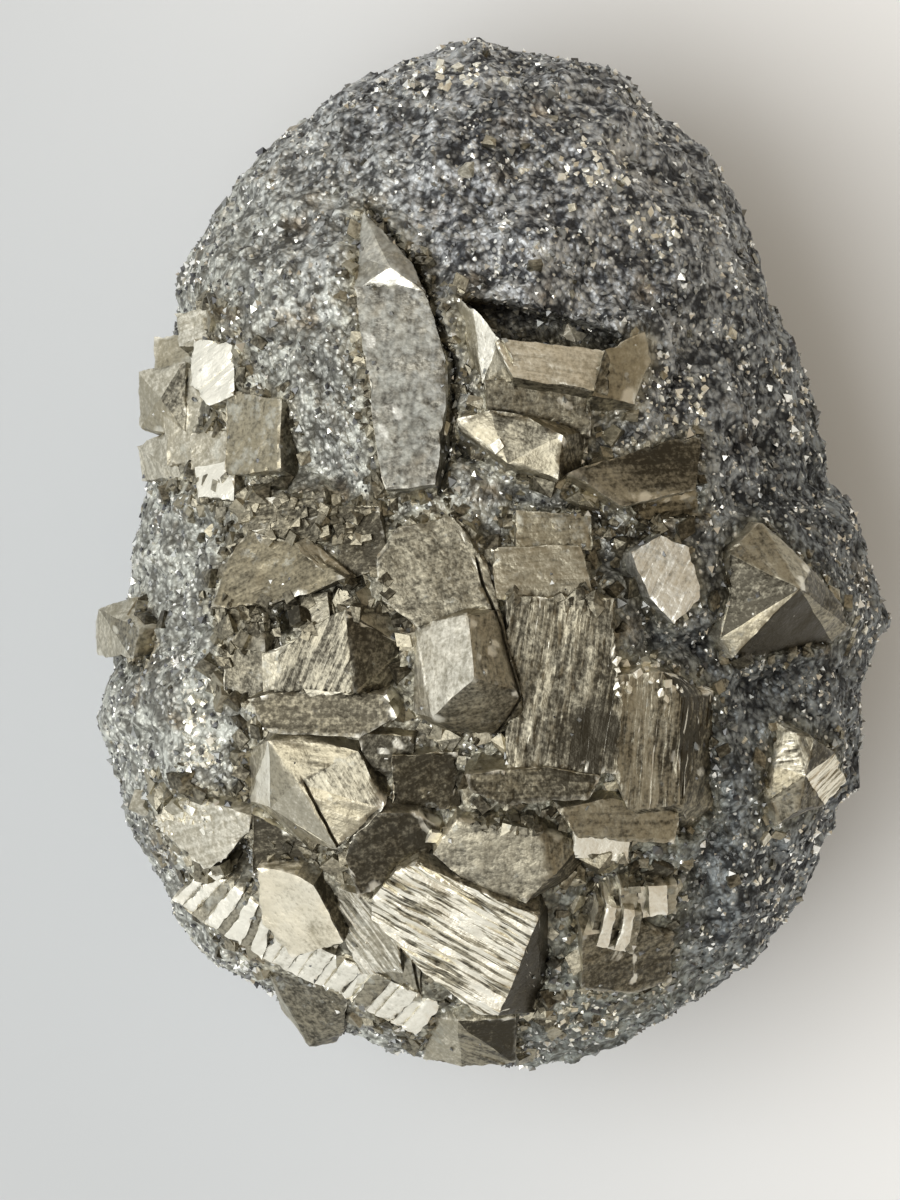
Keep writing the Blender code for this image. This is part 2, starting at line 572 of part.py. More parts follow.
def keep_largest_body(item):
    """Takes away the crumbs that crossing pockets leave between them."""
    shape = bmesh.new()
    shape.from_mesh(item.data)
    unseen = set(shape.verts)
    bodies = []
    while unseen:
        front = [unseen.pop()]
        found = []
        while front:
            vert = front.pop()
            found.append(vert)
            for edge in vert.link_edges:
                other = edge.other_vert(vert)
                if other in unseen:
                    unseen.remove(other)
                    front.append(other)
        bodies.append(found)
    bodies.sort(key=len)
    for crumb in bodies[:-1]:
        bmesh.ops.delete(shape, geom=crumb, context="VERTS")
    shape.to_mesh(item.data)
    shape.free()


def centre_on_origin(parts, cutters):
    """Moves everything so that the origin is under the middle of the bounding box."""
    corner_low = Vector((math.inf, math.inf))
    corner_high = -corner_low
    for item in parts.objects:
        for vert in item.data.vertices:
            for axis in (0, 1):
                corner_low[axis] = min(corner_low[axis], vert.co[axis])
                corner_high[axis] = max(corner_high[axis], vert.co[axis])
    shift = -(corner_low + corner_high) / 2.0
    for item in (*parts.objects, *cutters.objects):
        item.data.transform(Matrix.Translation((shift.x, shift.y, 0.0)))


def main():
    """Builds the nodule."""
    clear_scene()
    parts = make_collection(OBJECT_NAME)
    cutters = make_collection(OBJECT_NAME + "_cutters")
    body = make_object("nodule_matrix", granular_body(), parts)
    thinning = body.modifiers.new("thinning", "DECIMATE")
    thinning.ratio = SKIN_SHARE
    keep_result(body)
    cut_flat_spot(body)
    body.data.materials.append(make_material("granular_sulphide"))
    materials = {name: make_material(name) for name in FINISHES if name != "granular_sulphide"}
    groups = {name: (design(), finish) for name, (design, finish) in GROUPS.items()}
    for name, placing in SIDE_CRYSTALS.items():
        groups[name] = (side_crystal(*placing), "brassy_crystal")
    for name, (group, finish) in groups.items():
        shapes = [crystal_block(block) for crystal in group for block in crystal]
        crystals = joined_solid(name, shapes, parts)
        crystals.data.materials.clear()
        crystals.data.materials.append(materials[finish])
        pocket = joined_solid(name + "_pocket", [pocket_block(crystal) for crystal in group],
                              cutters)
        mark_as_cutter(pocket)
        apply_boolean(body, pocket, "DIFFERENCE")
    for hollow in hollows():
        cutter = make_object("hollow", hollow, cutters)
        mark_as_cutter(cutter)
        apply_boolean(body, cutter, "DIFFERENCE")
    keep_largest_body(body)
    centre_on_origin(parts, cutters)


main()
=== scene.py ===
import bisect
import itertools
import json
import math

import bmesh
import bpy
import numpy as np
from bpy.props import FloatProperty, FloatVectorProperty, IntProperty, PointerProperty
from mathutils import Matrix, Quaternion, Vector, noise
from mathutils.bvhtree import BVHTree

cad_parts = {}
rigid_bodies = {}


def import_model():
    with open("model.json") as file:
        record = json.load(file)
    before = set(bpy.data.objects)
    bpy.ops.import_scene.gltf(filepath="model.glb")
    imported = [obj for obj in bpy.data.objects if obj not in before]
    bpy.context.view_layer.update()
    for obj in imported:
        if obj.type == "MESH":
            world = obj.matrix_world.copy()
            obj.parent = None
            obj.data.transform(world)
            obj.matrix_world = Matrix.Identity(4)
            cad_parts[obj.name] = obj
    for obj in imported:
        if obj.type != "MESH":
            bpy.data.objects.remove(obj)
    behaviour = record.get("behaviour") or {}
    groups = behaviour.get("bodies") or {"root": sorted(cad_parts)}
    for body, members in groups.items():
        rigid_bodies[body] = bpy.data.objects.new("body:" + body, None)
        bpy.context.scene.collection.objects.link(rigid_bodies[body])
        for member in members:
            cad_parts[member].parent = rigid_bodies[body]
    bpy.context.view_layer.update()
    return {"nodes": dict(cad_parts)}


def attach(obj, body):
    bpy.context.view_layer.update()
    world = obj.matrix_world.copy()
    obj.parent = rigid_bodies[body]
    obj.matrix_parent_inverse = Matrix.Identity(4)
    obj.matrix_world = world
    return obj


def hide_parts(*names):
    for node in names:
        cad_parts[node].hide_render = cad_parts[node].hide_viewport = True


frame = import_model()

bl_info = {
    "name": "Marcasite nodule",
    "version": (1, 0, 0),
    "blender": (4, 5, 0),
    "location": "3D View > Sidebar > Nodule",
    "description": "The granular body, the crystals and the glints of a marcasite nodule",
    "category": "Object",
}

MM = 0.001

# The form of the granular body, in millimetres, as the solids have it
WAIST_HEIGHT = 16.0
CROWN_HEIGHT = 19.5
KEEL_DEPTH = 16.8
FULLNESS = 2.2
LUMP_SIZE = 9.0
LUMP_RISE = 1.5
KNUCKLE_SIZE = 3.6
KNUCKLE_RISE = 1.0
CRUMB_SIZE = 1.7
FINE_CRUMB_SIZE = 0.75
OUTLINE = [
    (22.4, 0.2), (21.3, 2.6), (19.9, 4.1), (19.4, 6.6), (18.9, 9.0), (17.7, 12.2), (16.5, 14.6),
    (15.6, 17.8), (14.9, 20.4), (12.9, 23.6), (9.4, 26.3), (8.0, 28.0), (4.3, 29.4), (2.0, 29.8),
    (-0.6, 30.6), (-3.7, 29.8), (-5.9, 28.8), (-8.5, 27.7), (-10.4, 26.0), (-12.7, 24.2),
    (-14.9, 22.0), (-16.7, 19.7), (-18.4, 16.2), (-18.5, 13.8), (-19.0, 10.3), (-19.4, 6.1),
    (-20.6, 2.0), (-21.5, -1.7), (-22.5, -6.9), (-23.3, -10.2), (-22.6, -12.6), (-21.2, -16.9),
    (-19.1, -20.3), (-16.2, -24.6), (-13.6, -26.1), (-10.6, -27.6), (-8.3, -28.8), (-5.9, -29.9),
    (-1.2, -30.4), (1.3, -30.6), (3.7, -30.3), (8.3, -29.2), (12.7, -26.2), (15.9, -23.7),
    (18.6, -20.3), (20.8, -15.3), (21.8, -13.9), (21.9, -8.3), (22.5, -6.0), (23.4, -4.0),
]

# Hollows that crystals have left in the body: outline in plan, and depth
HOLLOWS = {
    "lens over the saddle": ([(-1.9, 14.6), (1.0, 14.4), (5.0, 13.4), (8.0, 12.4), (7.0, 11.3),
                              (3.4, 10.9), (0.4, 11.9)], 3.0),
    "square hole": ([(-2.3, 6.8), (-0.6, 6.5), (-0.7, 4.9), (-2.2, 5.0)], 2.0),
    "pit by the light plate": ([(-16.2, -16.4), (-14.0, -16.6), (-13.5, -19.8),
                                (-15.4, -20.6)], 2.2),
    "pit under the cream plate": ([(-11.6, -23.8), (-8.6, -22.8), (-8.8, -24.6),
                                   (-11.2, -25.2)], 2.2),
    "pit under the brown face": ([(-12.3, -3.2), (-11.1, -3.2), (-11.2, -4.9),
                                  (-12.2, -4.9)], 1.2),
}

# Cracks in the body: line in plan, width and depth
CRACKS = {
    "beside the tall crystal": ([(-7.1, 20.1), (-4.3, 16.4), (-2.1, 10.7), (-2.2, 7.2),
                                 (-2.8, 3.4)], 0.35, 1.1),
}

# Seams between crystals that have grown together: lines in plan
SEAMS = {
    "down the ridged crystal": [(-10.9, -13.1), (-8.7, -17.2)],
    "right of the keystone": [(-0.8, -0.5), (-0.4, -2.3), (0.5, -4.4), (1.1, -6.4), (1.7, -8.5),
                              (0.5, -10.3), (-1.4, -12.1), (-2.0, -13.7)],
    "across the taupe plate": [(-4.5, -23.9), (-4.1, -25.8)],
}
SEAM_WIDTH = 0.22
SEAM_DEPTH = 0.25

# Parts of crystal faces that are darker or, below zero, paler: middle and half size in plan, and
# by how much
TONE_PATCHES = {
    "first column, mottled part": ((5.4, -11.0), (2.2, 2.1), 0.34),
    "first column, right edge": ((6.6, -7.6), (0.7, 3.4), 0.12),
    "second column, right part": ((10.4, -10.2), (0.9, 4.6), 0.18),
    "second column, crumbly top": ((9.0, -6.4), (1.8, 1.0), -0.25),
    "grey crystal, lower edge": ((2.4, -20.4), (1.6, 0.9), 0.12),
    "shelf, left part": ((7.0, 3.6), (1.6, 1.2), -0.15),
    "shelf, dark part": ((9.6, 5.2), (2.0, 1.0), 0.16),
    "shelf, lower edge": ((9.7, 3.1), (2.4, 0.3), -0.4),
    "saddle, right part": ((6.4, 9.8), (1.6, 1.6), 0.12),
    "tall shaft, lower end": ((-4.4, 6.4), (1.6, 2.4), 0.1),
    "cream plate, stain": ((-9.8, -22.4), (1.2, 1.0), 0.2),
}

# Small crystals with a place of their own: place in plan, size in millimetres, and tone. The
# palest tones are painted highlights of facets that catch the light.
LOOSE_CRYSTALS = {
    "in the lens": (4.8, 12.7, 1.1, 1.8),
    "on the lozenge": (-3.3, -16.4, 0.6, 1.6),
    "beside the middle crystal": (0.4, 5.9, 0.7, 1.0),
    "under the keystone": (-5.9, -8.4, 0.6, 0.9),
    "at the foot of the second column": (6.9, -13.6, 0.7, 1.0),
    "by the cream plate": (-15.9, -18.9, 0.8, 1.1),
    "upper bright facet": (1.9, 22.0, 0.6, 0.9),
    "top bright facet": (-1.9, 28.6, 0.7, 0.8),
    "upper right facet": (14.2, 12.7, 0.7, 0.7),
    "upper left facet": (-1.4, 22.0, 0.7, 0.7),
}

# Patches of small blocks: middle and half size in plan, number, size in millimetres, tone, warmth.
# The white grains are partly pale grains and partly painted glints.
BLOCK_PATCHES = {
    "above the brown face": ((-12.0, 1.7), (5.0, 1.3), 80, 0.44, 0.3, 0.6),
    "right of the brown face": ((-7.4, -2.4), (1.6, 1.2), 20, 0.5, 0.2, 0.7),
    "over the ribs": ((-12.9, -3.8), (2.6, 1.1), 44, 0.55, 0.22, 0.7),
    "left of the ribs": ((-14.9, -7.5), (0.8, 2.6), 20, 0.5, 0.18, 0.7),
    "under the first ledge": ((0.8, -15.4), (1.9, 0.9), 50, 0.36, 0.32, 0.2),
    "over the first column": ((3.4, -2.9), (2.8, 0.5), 16, 0.5, 0.2, 0.5),
    "by the pink facet": ((8.6, -18.4), (1.2, 1.1), 22, 0.42, 0.3, 0.3),
    "under the shelf": ((8.5, 1.5), (3.2, 0.9), 22, 0.42, 0.2, 0.5),
    "left edge": ((-16.3, 3.6), (1.2, 1.8), 10, 0.45, 0.4, 0.2),
    "over the light plate": ((-19.4, -14.2), (1.1, 1.5), 20, 0.55, 0.5, 0.4),
    "under the ridged crystal": ((-11.4, -17.6), (1.4, 0.7), 14, 0.5, 0.15, 0.6),
    "bottom rim": ((5.4, -27.6), (2.0, 1.0), 20, 0.45, 0.3, 0.4),
    "white grains, left": ((-16.8, -10.0), (1.2, 2.6), 90, 0.22, 1.3, 0.1),
    "white grains, lower left": ((-17.8, -15.6), (1.6, 1.2), 36, 0.22, 1.3, 0.2),
    "white grains, top": ((6.0, 22.6), (2.0, 1.6), 44, 0.24, 1.3, 0.1),
    "white grains, top right": ((9.6, 18.4), (1.6, 1.6), 26, 0.24, 1.3, 0.1),
    "white grains, right": ((10.8, 8.6), (1.9, 1.9), 50, 0.2, 1.3, 0.1),
    "white grains, crown": ((-2.0, 28.0), (1.4, 0.9), 20, 0.26, 1.3, 0.1),
    "white grains, by the columns": ((9.0, -7.4), (2.0, 1.2), 26, 0.26, 1.3, 0.2),
    "white grains, bottom": ((5.5, -27.4), (2.2, 1.4), 40, 0.2, 1.3, 0.2),
    "white grains, lower right": ((16.6, -19.0), (2.0, 3.0), 16, 0.22, 1.3, 0.1),
}

CRYSTAL_NODES = [name for name in frame["nodes"] if name != "nodule_matrix"]
CORE = Vector((0.0, 0.0, WAIST_HEIGHT))
OUTLINE_ANGLES = np.array([math.atan2(y, x) % math.tau for x, y in OUTLINE])
OUTLINE_RADII = np.array([math.hypot(x, y) for x, y in OUTLINE])

# Crystal faces that have a look of their own. Each is found by a place on it in plan, and has the
# direction of its striations in degrees, their spacing in millimetres, how strong they are from
# none (0) to deep (1), its tone from dark (0) to pale (1), and its warmth from grey (0) to brown
# (1). A tone is partly the face's own colour and partly painted light and shade: faces that catch
# the light are painted pale and faces turned from it dark.
FACES = {
    "keystone, bright side": (-3.0, -6.5, 98.0, 1.2, 0.1, 0.8, 0.4),
    "keystone, right side": (0.3, -6.0, 95.0, 0.9, 0.2, 0.35, 0.5),
    "keystone, lower side": (-0.6, -9.2, 10.0, 0.9, 0.2, 0.25, 0.6),
    "shoulder": (-3.4, -1.0, 20.0, 0.8, 0.2, 0.27, 0.4),
    "shoulder, back": (-7.6, 0.6, 60.0, 0.8, 0.2, 0.04, 0.6),
    "first column": (4.4, -8.0, 82.0, 0.42, 0.4, 0.27, 0.45),
    "second column": (9.2, -11.0, 88.0, 0.42, 0.46, 0.38, 0.4),
    "second column, side": (12.2, -11.0, 88.0, 0.5, 0.5, 0.0, 1.0),
    "middle step": (2.6, -1.4, 5.0, 0.8, 0.3, 0.5, 0.5),
    "back step": (3.6, 1.0, 5.0, 0.6, 0.3, 0.42, 0.6),
    "first ledge": (2.5, -13.6, 0.0, 0.5, 0.3, 0.16, 0.7),
    "second ledge": (7.5, -15.7, 0.0, 0.5, 0.3, 0.36, 0.6),
    "pink facet": (6.4, -17.2, 30.0, 0.7, 0.2, 1.35, 0.2),
    "brown face": (-12.8, -1.2, 12.0, 0.9, 0.2, 0.35, 1.0),
    "brown steps": (-12.0, 2.0, 4.0, 0.5, 0.4, 0.22, 0.7),
    "pale lump": (-14.4, -4.8, 30.0, 0.6, 0.2, 0.4, 0.4),
    "pale patch": (-10.4, -3.6, 30.0, 0.5, 0.2, 0.5, 0.4),
    "ribbed face": (-10.2, -6.4, 62.0, 0.42, 0.46, 0.28, 0.4),
    "ribbed crystal, dark side": (-6.6, -5.6, 76.0, 0.5, 0.15, 0.12, 0.0),
    "low ribs": (-13.0, -8.2, 62.0, 0.42, 0.5, 0.2, 0.5),
    "long ledge": (-10.0, -9.4, 0.0, 0.8, 0.1, 0.13, 0.7),
    "ridged crystal, rim": (-13.5, -13.2, -70.0, 0.8, 0.1, 1.5, 0.2),
    "ridged crystal, pale side": (-11.9, -14.6, -62.0, 0.8, 0.1, 0.58, 0.3),
    "ridged crystal, striated side": (-8.6, -14.0, -58.0, 0.42, 0.36, 0.38, 0.35),
    "light plate": (-17.0, -16.6, 20.0, 0.9, 0.2, 0.72, 0.4),
    "cream plate": (-11.2, -21.2, -62.0, 0.7, 0.2, 1.0, 0.9),
    "lozenge": (-5.8, -17.0, 20.0, 0.9, 0.2, 0.08, 0.6),
    "small striated crystal": (-7.0, -22.6, -66.0, 0.42, 0.6, 0.62, 0.3),
    "bright striated crystal": (-2.0, -22.2, -33.0, 0.4, 1.0, 1.1, 0.5),
    "bright crystal, end": (3.0, -24.6, 80.0, 0.9, 0.1, -0.05, 0.8),
    "grey crystal": (0.6, -18.2, 10.0, 0.9, 0.1, 0.33, 0.35),
    "saddle": (3.6, 10.6, -6.0, 0.8, 0.3, 0.85, 0.45),
    "saddle end": (7.6, 10.4, 75.0, 0.7, 0.15, 0.5, 0.65),
    "under the saddle": (3.0, 8.6, -8.0, 0.5, 0.2, 0.28, 0.5),
    "middle crystal": (1.6, 6.4, -14.0, 0.7, 0.2, 0.22, 0.35),
    "shelf": (9.0, 4.6, 14.0, 0.5, 0.25, 0.16, 0.0),
    "tall cap": (-6.6, 17.6, 84.0, 0.6, 0.2, 0.74, 0.5),
    "tall cap, bright facet": (-5.6, 15.6, 30.0, 0.6, 0.4, 1.05, 0.5),
    "tall shaft": (-5.0, 10.0, 86.0, 0.6, 0.2, 0.28, 0.5),
    "pale crystal": (10.2, -1.6, 60.0, 0.5, 0.4, 0.92, 0.35),
    "pyramid, left side": (15.4, -2.0, 60.0, 0.9, 0.05, 0.1, 0.2),
    "pyramid, lower side": (17.4, -4.6, 10.0, 0.8, 0.1, -0.15, 0.8),
    "nugget": (17.4, -12.2, 10.0, 0.6, 0.7, 0.55, 0.4),
    "nugget, right side": (19.2, -12.8, 10.0, 0.6, 0.7, 0.9, 0.4),
    "left edge, top plate": (-17.2, 13.4, 10.0, 0.6, 0.4, 0.7, 0.4),
    "left edge, brown block": (-18.6, 11.6, 10.0, 0.6, 0.3, 0.52, 0.7),
    "left edge, white plate": (-16.2, 10.6, 20.0, 0.7, 0.5, 1.35, 0.0),
    "left edge, round block": (-17.9, 8.2, 60.0, 0.8, 0.2, 0.22, 0.2),
    "left edge, khaki block": (-16.0, 6.2, 30.0, 0.7, 0.2, 0.6, 0.4),
    "left edge, white patch": (-15.8, 4.0, 30.0, 0.7, 0.3, 1.35, 0.0),
    "left edge, smooth flat": (-13.6, 6.8, 80.0, 0.9, 0.1, 0.42, 0.8),
    "knob": (-10.3, -26.4, 20.0, 0.8, 0.2, 0.25, 0.6),
    "end block": (-0.6, -28.4, 80.0, 0.8, 0.2, 0.0, 0.8),
    "stepped cluster, body": (8.0, -24.6, 10.0, 0.8, 0.1, 0.17, 0.8),
    "taupe plate": (-6.6, -25.4, 20.0, 0.7, 0.3, 0.38, 0.5),
    "dark triangle": (-12.2, -17.2, 20.0, 0.7, 0.3, 0.02, 0.6),
    "blue-grey grain": (-5.9, -11.7, 60.0, 0.6, 0.3, 0.15, 0.0),
    "block below the keystone": (-3.8, -13.2, 30.0, 0.6, 0.2, 0.06, 0.8),
    "bright crystal, end, upper": (3.1, -22.0, 80.0, 0.9, 0.1, -0.05, 0.8),
    "bright crystal, end, lower": (2.0, -26.4, 80.0, 0.9, 0.1, -0.05, 0.8),
    "keystone, upper side": (-3.0, -4.4, 98.0, 1.2, 0.1, 0.8, 0.4),
    "left of the ribs": (-14.2, -7.2, 62.0, 0.6, 0.2, 0.24, 0.5),
    "pyramid, foot": (16.2, -4.1, 60.0, 0.9, 0.05, -0.1, 0.6),
    "pyramid, foot, left": (14.9, -3.6, 60.0, 0.9, 0.05, 0.0, 0.2),
    "rim band, middle": (-7.3, -26.4, 54.0, 0.6, 0.2, 1.2, 0.15),
    "tip crystal": (-22.0, -4.9, 80.0, 0.8, 0.2, 0.3, 0.5),
    "horn of the saddle": (0.2, 11.6, 120.0, 0.6, 0.2, 0.95, 0.2),
}

# Flights of steps, each crossed by a line in plan: its two ends, the direction, spacing, strength
# and warmth of all its steps, and the two tones that they have in turn. The two tones are partly
# painted light and shade of steps that turn towards and away from the light.
FLIGHTS = {
    "rim band, upper": ((-17.6, -19.6), (-13.0, -22.6), (56.0, 0.6, 0.2, 0.3), (1.35, 0.4)),
    "rim band, lower": ((-12.9, -22.9), (-3.6, -27.5), (54.0, 0.6, 0.2, 0.2), (1.5, 0.95)),
    "stepped cluster, stripes": ((6.9, -20.6), (10.9, -20.3), (85.0, 0.6, 0.2, 0.1), (1.1, 0.5)),
    "stepped cluster, ribs": ((5.9, -22.2), (8.7, -22.2), (75.0, 0.6, 0.2, 0.2), (1.0, 0.35)),
}
TRIES_ALONG_A_FLIGHT = 48

# How fine the patterns on the surfaces are: waves or cells in a metre
ZONE_SCALE = 160.0
STAIN_SCALE = 260.0
CLUMP_SCALE = 330.0
CLUSTER_SCALE = 420.0
PATCH_SCALE = 800.0
RELIEF_SCALE = 1000.0
SHINE_SCALE = 1100.0
WANDER_SCALE = 1500.0
KNOT_SCALE = 1600.0
PITS_SCALE = 1700.0
FACET_SCALE = 2300.0
GRAIN_SCALE = 2700.0
SPECK_SCALE = 3300.0
FINE_SCALE = 3600.0
FINE_PITS_SCALE = 4300.0
PAINTED_GLINT_SCALE = 7000.0

# Streaks on striated faces: waves in a millimetre across them and along them
STREAKS = (3.4, 0.28, 1.0)
FINE_STREAKS = (9.0, 0.9, 1.0)

# Distances in millimetres: where rays start, down to what depth in the body faces are dressed,
# how high a crystal's foot reaches, half the width of the step between two strips, and the sizes
# of the warp's waves
OVER_ALL = 80.0
OUTSIDE = 60.0
BURIED = -0.6
FOOT_HEIGHT = 1.6
HALF_STEP = 0.012
WARP_SIZE = 2.6
FINE_WARP_SIZE = 0.8

# How far apart in the noise the three parts of a smooth random vector are read
NOISES_APART = [Vector((0.0, 0.0, 0.0)), Vector((31.4, 17.2, 5.6)), Vector((-12.7, 43.9, 27.1))]

# Angles in degrees, and the strength of striation from which a face is cut in strips
FLAT_WITHIN = 0.4
SHARP_FROM = 16.0
CUT_FROM = 0.38

# Where the random numbers start, and how many shapes the small crystals have
BODY_SEED = 11
GRAIN_SEED = 21
GLINT_SEED = 22
RUBBLE_SEED = 31
FACET_SEED = 1000
BLOCK_SHAPES = 14


def as_rgba(colour):
    """A plain colour with full opacity. A signal stays as it is."""
    return colour if isinstance(colour, Signal) else (*colour, 1.0)


# Shader expressions

class Signal:
    """A socket of a node tree, so that shader maths reads as an expression."""

    def __init__(self, tree, socket):
        self.tree = tree
        self.socket = socket

    def node(self, kind, settings=None, links=None, output=0):
        """Adds a node, sets its settings and then its sockets, and gives one of its outputs."""
        made = self.tree.nodes.new(kind)
        for key, value in (settings or {}).items():
            setattr(made, key, value)
        for key, value in (links or {}).items():
            if isinstance(value, Signal):
                self.tree.links.new(value.socket, made.inputs[key])
            elif value is not None:
                made.inputs[key].default_value = value
        return Signal(self.tree, made.outputs[output])

    def maths(self, operation, other=None, swapped=False):
        """One Math node."""
        pair = (other, self) if swapped else (self, other)
        return self.node("ShaderNodeMath", {"operation": operation}, {0: pair[0], 1: pair[1]})

    def __add__(self, other):
        return self.maths("ADD", other)

    def __sub__(self, other):
        return self.maths("SUBTRACT", other)

    def __rsub__(self, other):
        return self.maths("SUBTRACT", other, swapped=True)

    def __mul__(self, other):
        return self.maths("MULTIPLY", other)

    def __pow__(self, other):
        return self.maths("POWER", other)

    __radd__ = __add__
    __rmul__ = __mul__

    def ramp(self, low, high):
        """Rises smoothly from 0 at low to 1 at high."""
        return self.node("ShaderNodeMapRange", {"interpolation_type": "SMOOTHSTEP"},
                         {"Value": self, "From Min": low, "From Max": high})

    def mix(self, first, second, blend="MIX"):
        """A colour mixed from two, with this signal as the share of the second."""
        return self.node(
            "ShaderNodeMix", {"data_type": "RGBA", "blend_type": blend},
            {0: self, 6: as_rgba(first), 7: as_rgba(second)}, output=2)

    def part(self, number):
        """The first, second or third part of a vector or a colour."""
        return self.node("ShaderNodeSeparateXYZ", {}, {0: self}, output=number)

    def stretched(self, scale):
        """A vector multiplied by a scale along each axis."""
        return self.node("ShaderNodeVectorMath", {"operation": "MULTIPLY"}, {0: self, 1: scale})

    def clouds(self, scale, detail=3.0, roughness=0.55, output=0):
        """Noise at places given by this vector."""
        return self.node("ShaderNodeTexNoise", {},
                         {"Vector": self, "Scale": scale, "Detail": detail,
                          "Roughness": roughness}, output=output)

    def cells(self, scale, output=1):
        """The random colour, or another output, of the Voronoi cell at this vector's place."""
        return self.node("ShaderNodeTexVoronoi", {}, {"Vector": self, "Scale": scale},
                         output=output)


def new_material(name):
    """A material with its Principled shader, and a signal that starts expressions in its tree."""
    material = bpy.data.materials.new(name)
    material.use_nodes = True
    tree = material.node_tree
    shader = tree.nodes["Principled BSDF"]
    return material, shader, Signal(tree, None)


def feed(signal, shader, socket):
    """Links a signal to one of a shader's sockets."""
    signal.tree.links.new(signal.socket, shader.inputs[socket])


def object_place(start):
    """The place on the object, in metres."""
    return start.node("ShaderNodeTexCoord", output=3)


def attribute(start, name, output=2):
    """A value kept on a mesh, for use in its material."""
    return start.node("ShaderNodeAttribute", {"attribute_name": name}, output=output)


def sharpness(start):
    """How sharp an edge is: over 0.5 on ridges and under 0.5 in grooves."""
    return start.node("ShaderNodeNewGeometry", output=7)


def feed_bump(relief, normal, strength, height, shader):
    """Feeds a shader's normal with a relief of some height in metres."""
    feed(relief.node("ShaderNodeBump", {}, {"Strength": strength, "Distance": height,
                                            "Height": relief, "Normal": normal}),
         shader, "Normal")


def tilted_normal(start, tilt_source, strength):
    """The surface normal, leaned by a random vector so that neighbouring cells differ."""
    surface = start.node("ShaderNodeNewGeometry", output=1)
    centred = start.node("ShaderNodeVectorMath", {"operation": "SUBTRACT"},
                         {0: tilt_source, 1: (0.5, 0.5, 0.5)})
    leaned = start.node("ShaderNodeVectorMath", {"operation": "MULTIPLY_ADD"},
                        {0: centred, 1: (strength, strength, strength), 2: surface})
    return start.node("ShaderNodeVectorMath", {"operation": "NORMALIZE"}, {0: leaned})


# Meshes and pieces

def triangulate(shape):
    """Divides the faces that have more than three corners."""
    bmesh.ops.triangulate(shape, faces=[face for face in shape.faces if len(face.verts) > 3])


def read_all(items, key, width=1, kind=float):
    """One value, or a row of values, of each of a mesh's points, corners or faces."""
    values = np.empty(len(items) * width, kind)
    items.foreach_get(key, values)
    return values.reshape(-1, width) if width > 1 else values


def face_values(mesh):
    """Middles, normals and areas of a mesh's faces."""
    faces = mesh.polygons
    return read_all(faces, "center", 3), read_all(faces, "normal", 3), read_all(faces, "area")


def point_values_on_faces(mesh, name):
    """A value kept on a mesh's points, read at the first point of each face."""
    values = read_all(mesh.attributes[name].data, "value", kind=np.float32)
    starts = read_all(mesh.polygons, "loop_start", kind=int)
    corners = read_all(mesh.loops, "vertex_index", kind=int)
    return values[corners[starts]]


def keep_values(mesh, name, values, domain="POINT"):
    """Keeps a number for each point, or each face, of a mesh."""
    layer = mesh.attributes.new(name, "FLOAT", domain)
    layer.data.foreach_set("value", np.array(values, np.float32))


def add_piece(mesh, material, slot, *nodes):
    """A piece of the nodule from a mesh, with its material, body and the solid it shows. The slot
    is not used.
    """
    piece = bpy.data.objects.new(mesh.name, mesh)
    bpy.context.scene.collection.objects.link(piece)
    mesh.materials.clear()
    mesh.materials.append(material)
    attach(piece, "root")
    if nodes:
        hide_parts(*nodes)


def straight_down(tree, x, y, unit=1.0):
    """The place, the normal and the number of the highest face over a place in plan."""
    start = Vector((x * unit, y * unit, OVER_ALL * unit))
    return tree.ray_cast(start, Vector((0.0, 0.0, -1.0)))[:3]


def two_noises(places, size, fine_size):
    """Noise of two sizes at each of some places."""
    return np.array([noise.noise(place / size) + 0.7 * noise.noise(place / fine_size)
                     for place in map(Vector, places)])


# The granular body

def outline_radii(x, y):
    """Distances from the middle to the outline, in the direction of places in plan."""
    angles = np.arctan2(y, x) % math.tau
    return np.interp(angles, OUTLINE_ANGLES, OUTLINE_RADII, period=math.tau)


def skin_heights(x, y):
    """Heights of the smooth upper skin over places in plan."""
    reach = np.minimum(1.0, np.hypot(x, y) / outline_radii(x, y))
    return WAIST_HEIGHT + CROWN_HEIGHT * (1.0 - reach ** FULLNESS) ** (1.0 / FULLNESS)


def skin_points(directions):
    """Points of the lumpy skin that directions on the unit sphere are drawn out to."""
    across = np.hypot(directions[:, 0], directions[:, 1])
    upward = np.abs(directions[:, 2])
    scale = (across ** FULLNESS + upward ** FULLNESS) ** (-1.0 / FULLNESS)
    reach = outline_radii(directions[:, 0], directions[:, 1]) * scale
    height = np.where(directions[:, 2] > 0.0, CROWN_HEIGHT, KEEL_DEPTH) * scale
    smooth = directions * np.stack([reach, reach, height], axis=1)
    lumps = np.array([noise.noise(Vector(place) / LUMP_SIZE) for place in smooth])
    knuckles = np.array([noise.noise(Vector(place) / KNUCKLE_SIZE) for place in smooth])
    calm_at_waist = np.minimum(1.0, 0.25 + 1.2 * upward)
    swell = (LUMP_RISE * lumps + KNUCKLE_RISE * knuckles) * calm_at_waist
    return np.array(CORE) + smooth + directions * swell[:, None]


def skin_distance(point):
    """How far a point is over the core, as a share of the smooth skin's distance."""
    ray = point - CORE
    radius = outline_radii(ray.x, ray.y)
    across = math.hypot(ray.x, ray.y) / radius
    upward = abs(ray.z) / (CROWN_HEIGHT if ray.z > 0.0 else KEEL_DEPTH)
    return (across ** FULLNESS + upward ** FULLNESS) ** (1.0 / FULLNESS)


def height_over_skin(point):
    """Height of a point over the smooth skin, along the ray from the core."""
    share = skin_distance(point)
    return (point - CORE).length * (1.0 - 1.0 / share)


def share_in_hollow(x, y, outline):
    """How far inside a hollow's wall a place in plan is, from 0 to 1."""
    wall = 0.4
    inside = math.inf
    for (ax, ay), (bx, by) in zip(outline, outline[1:] + outline[:1]):
        length = math.hypot(bx - ax, by - ay)
        side = ((by - ay) * (x - ax) - (bx - ax) * (y - ay)) / length
        inside = min(inside, side)
    share = min(1.0, max(0.0, inside / wall))
    return share * share * (3.0 - 2.0 * share)


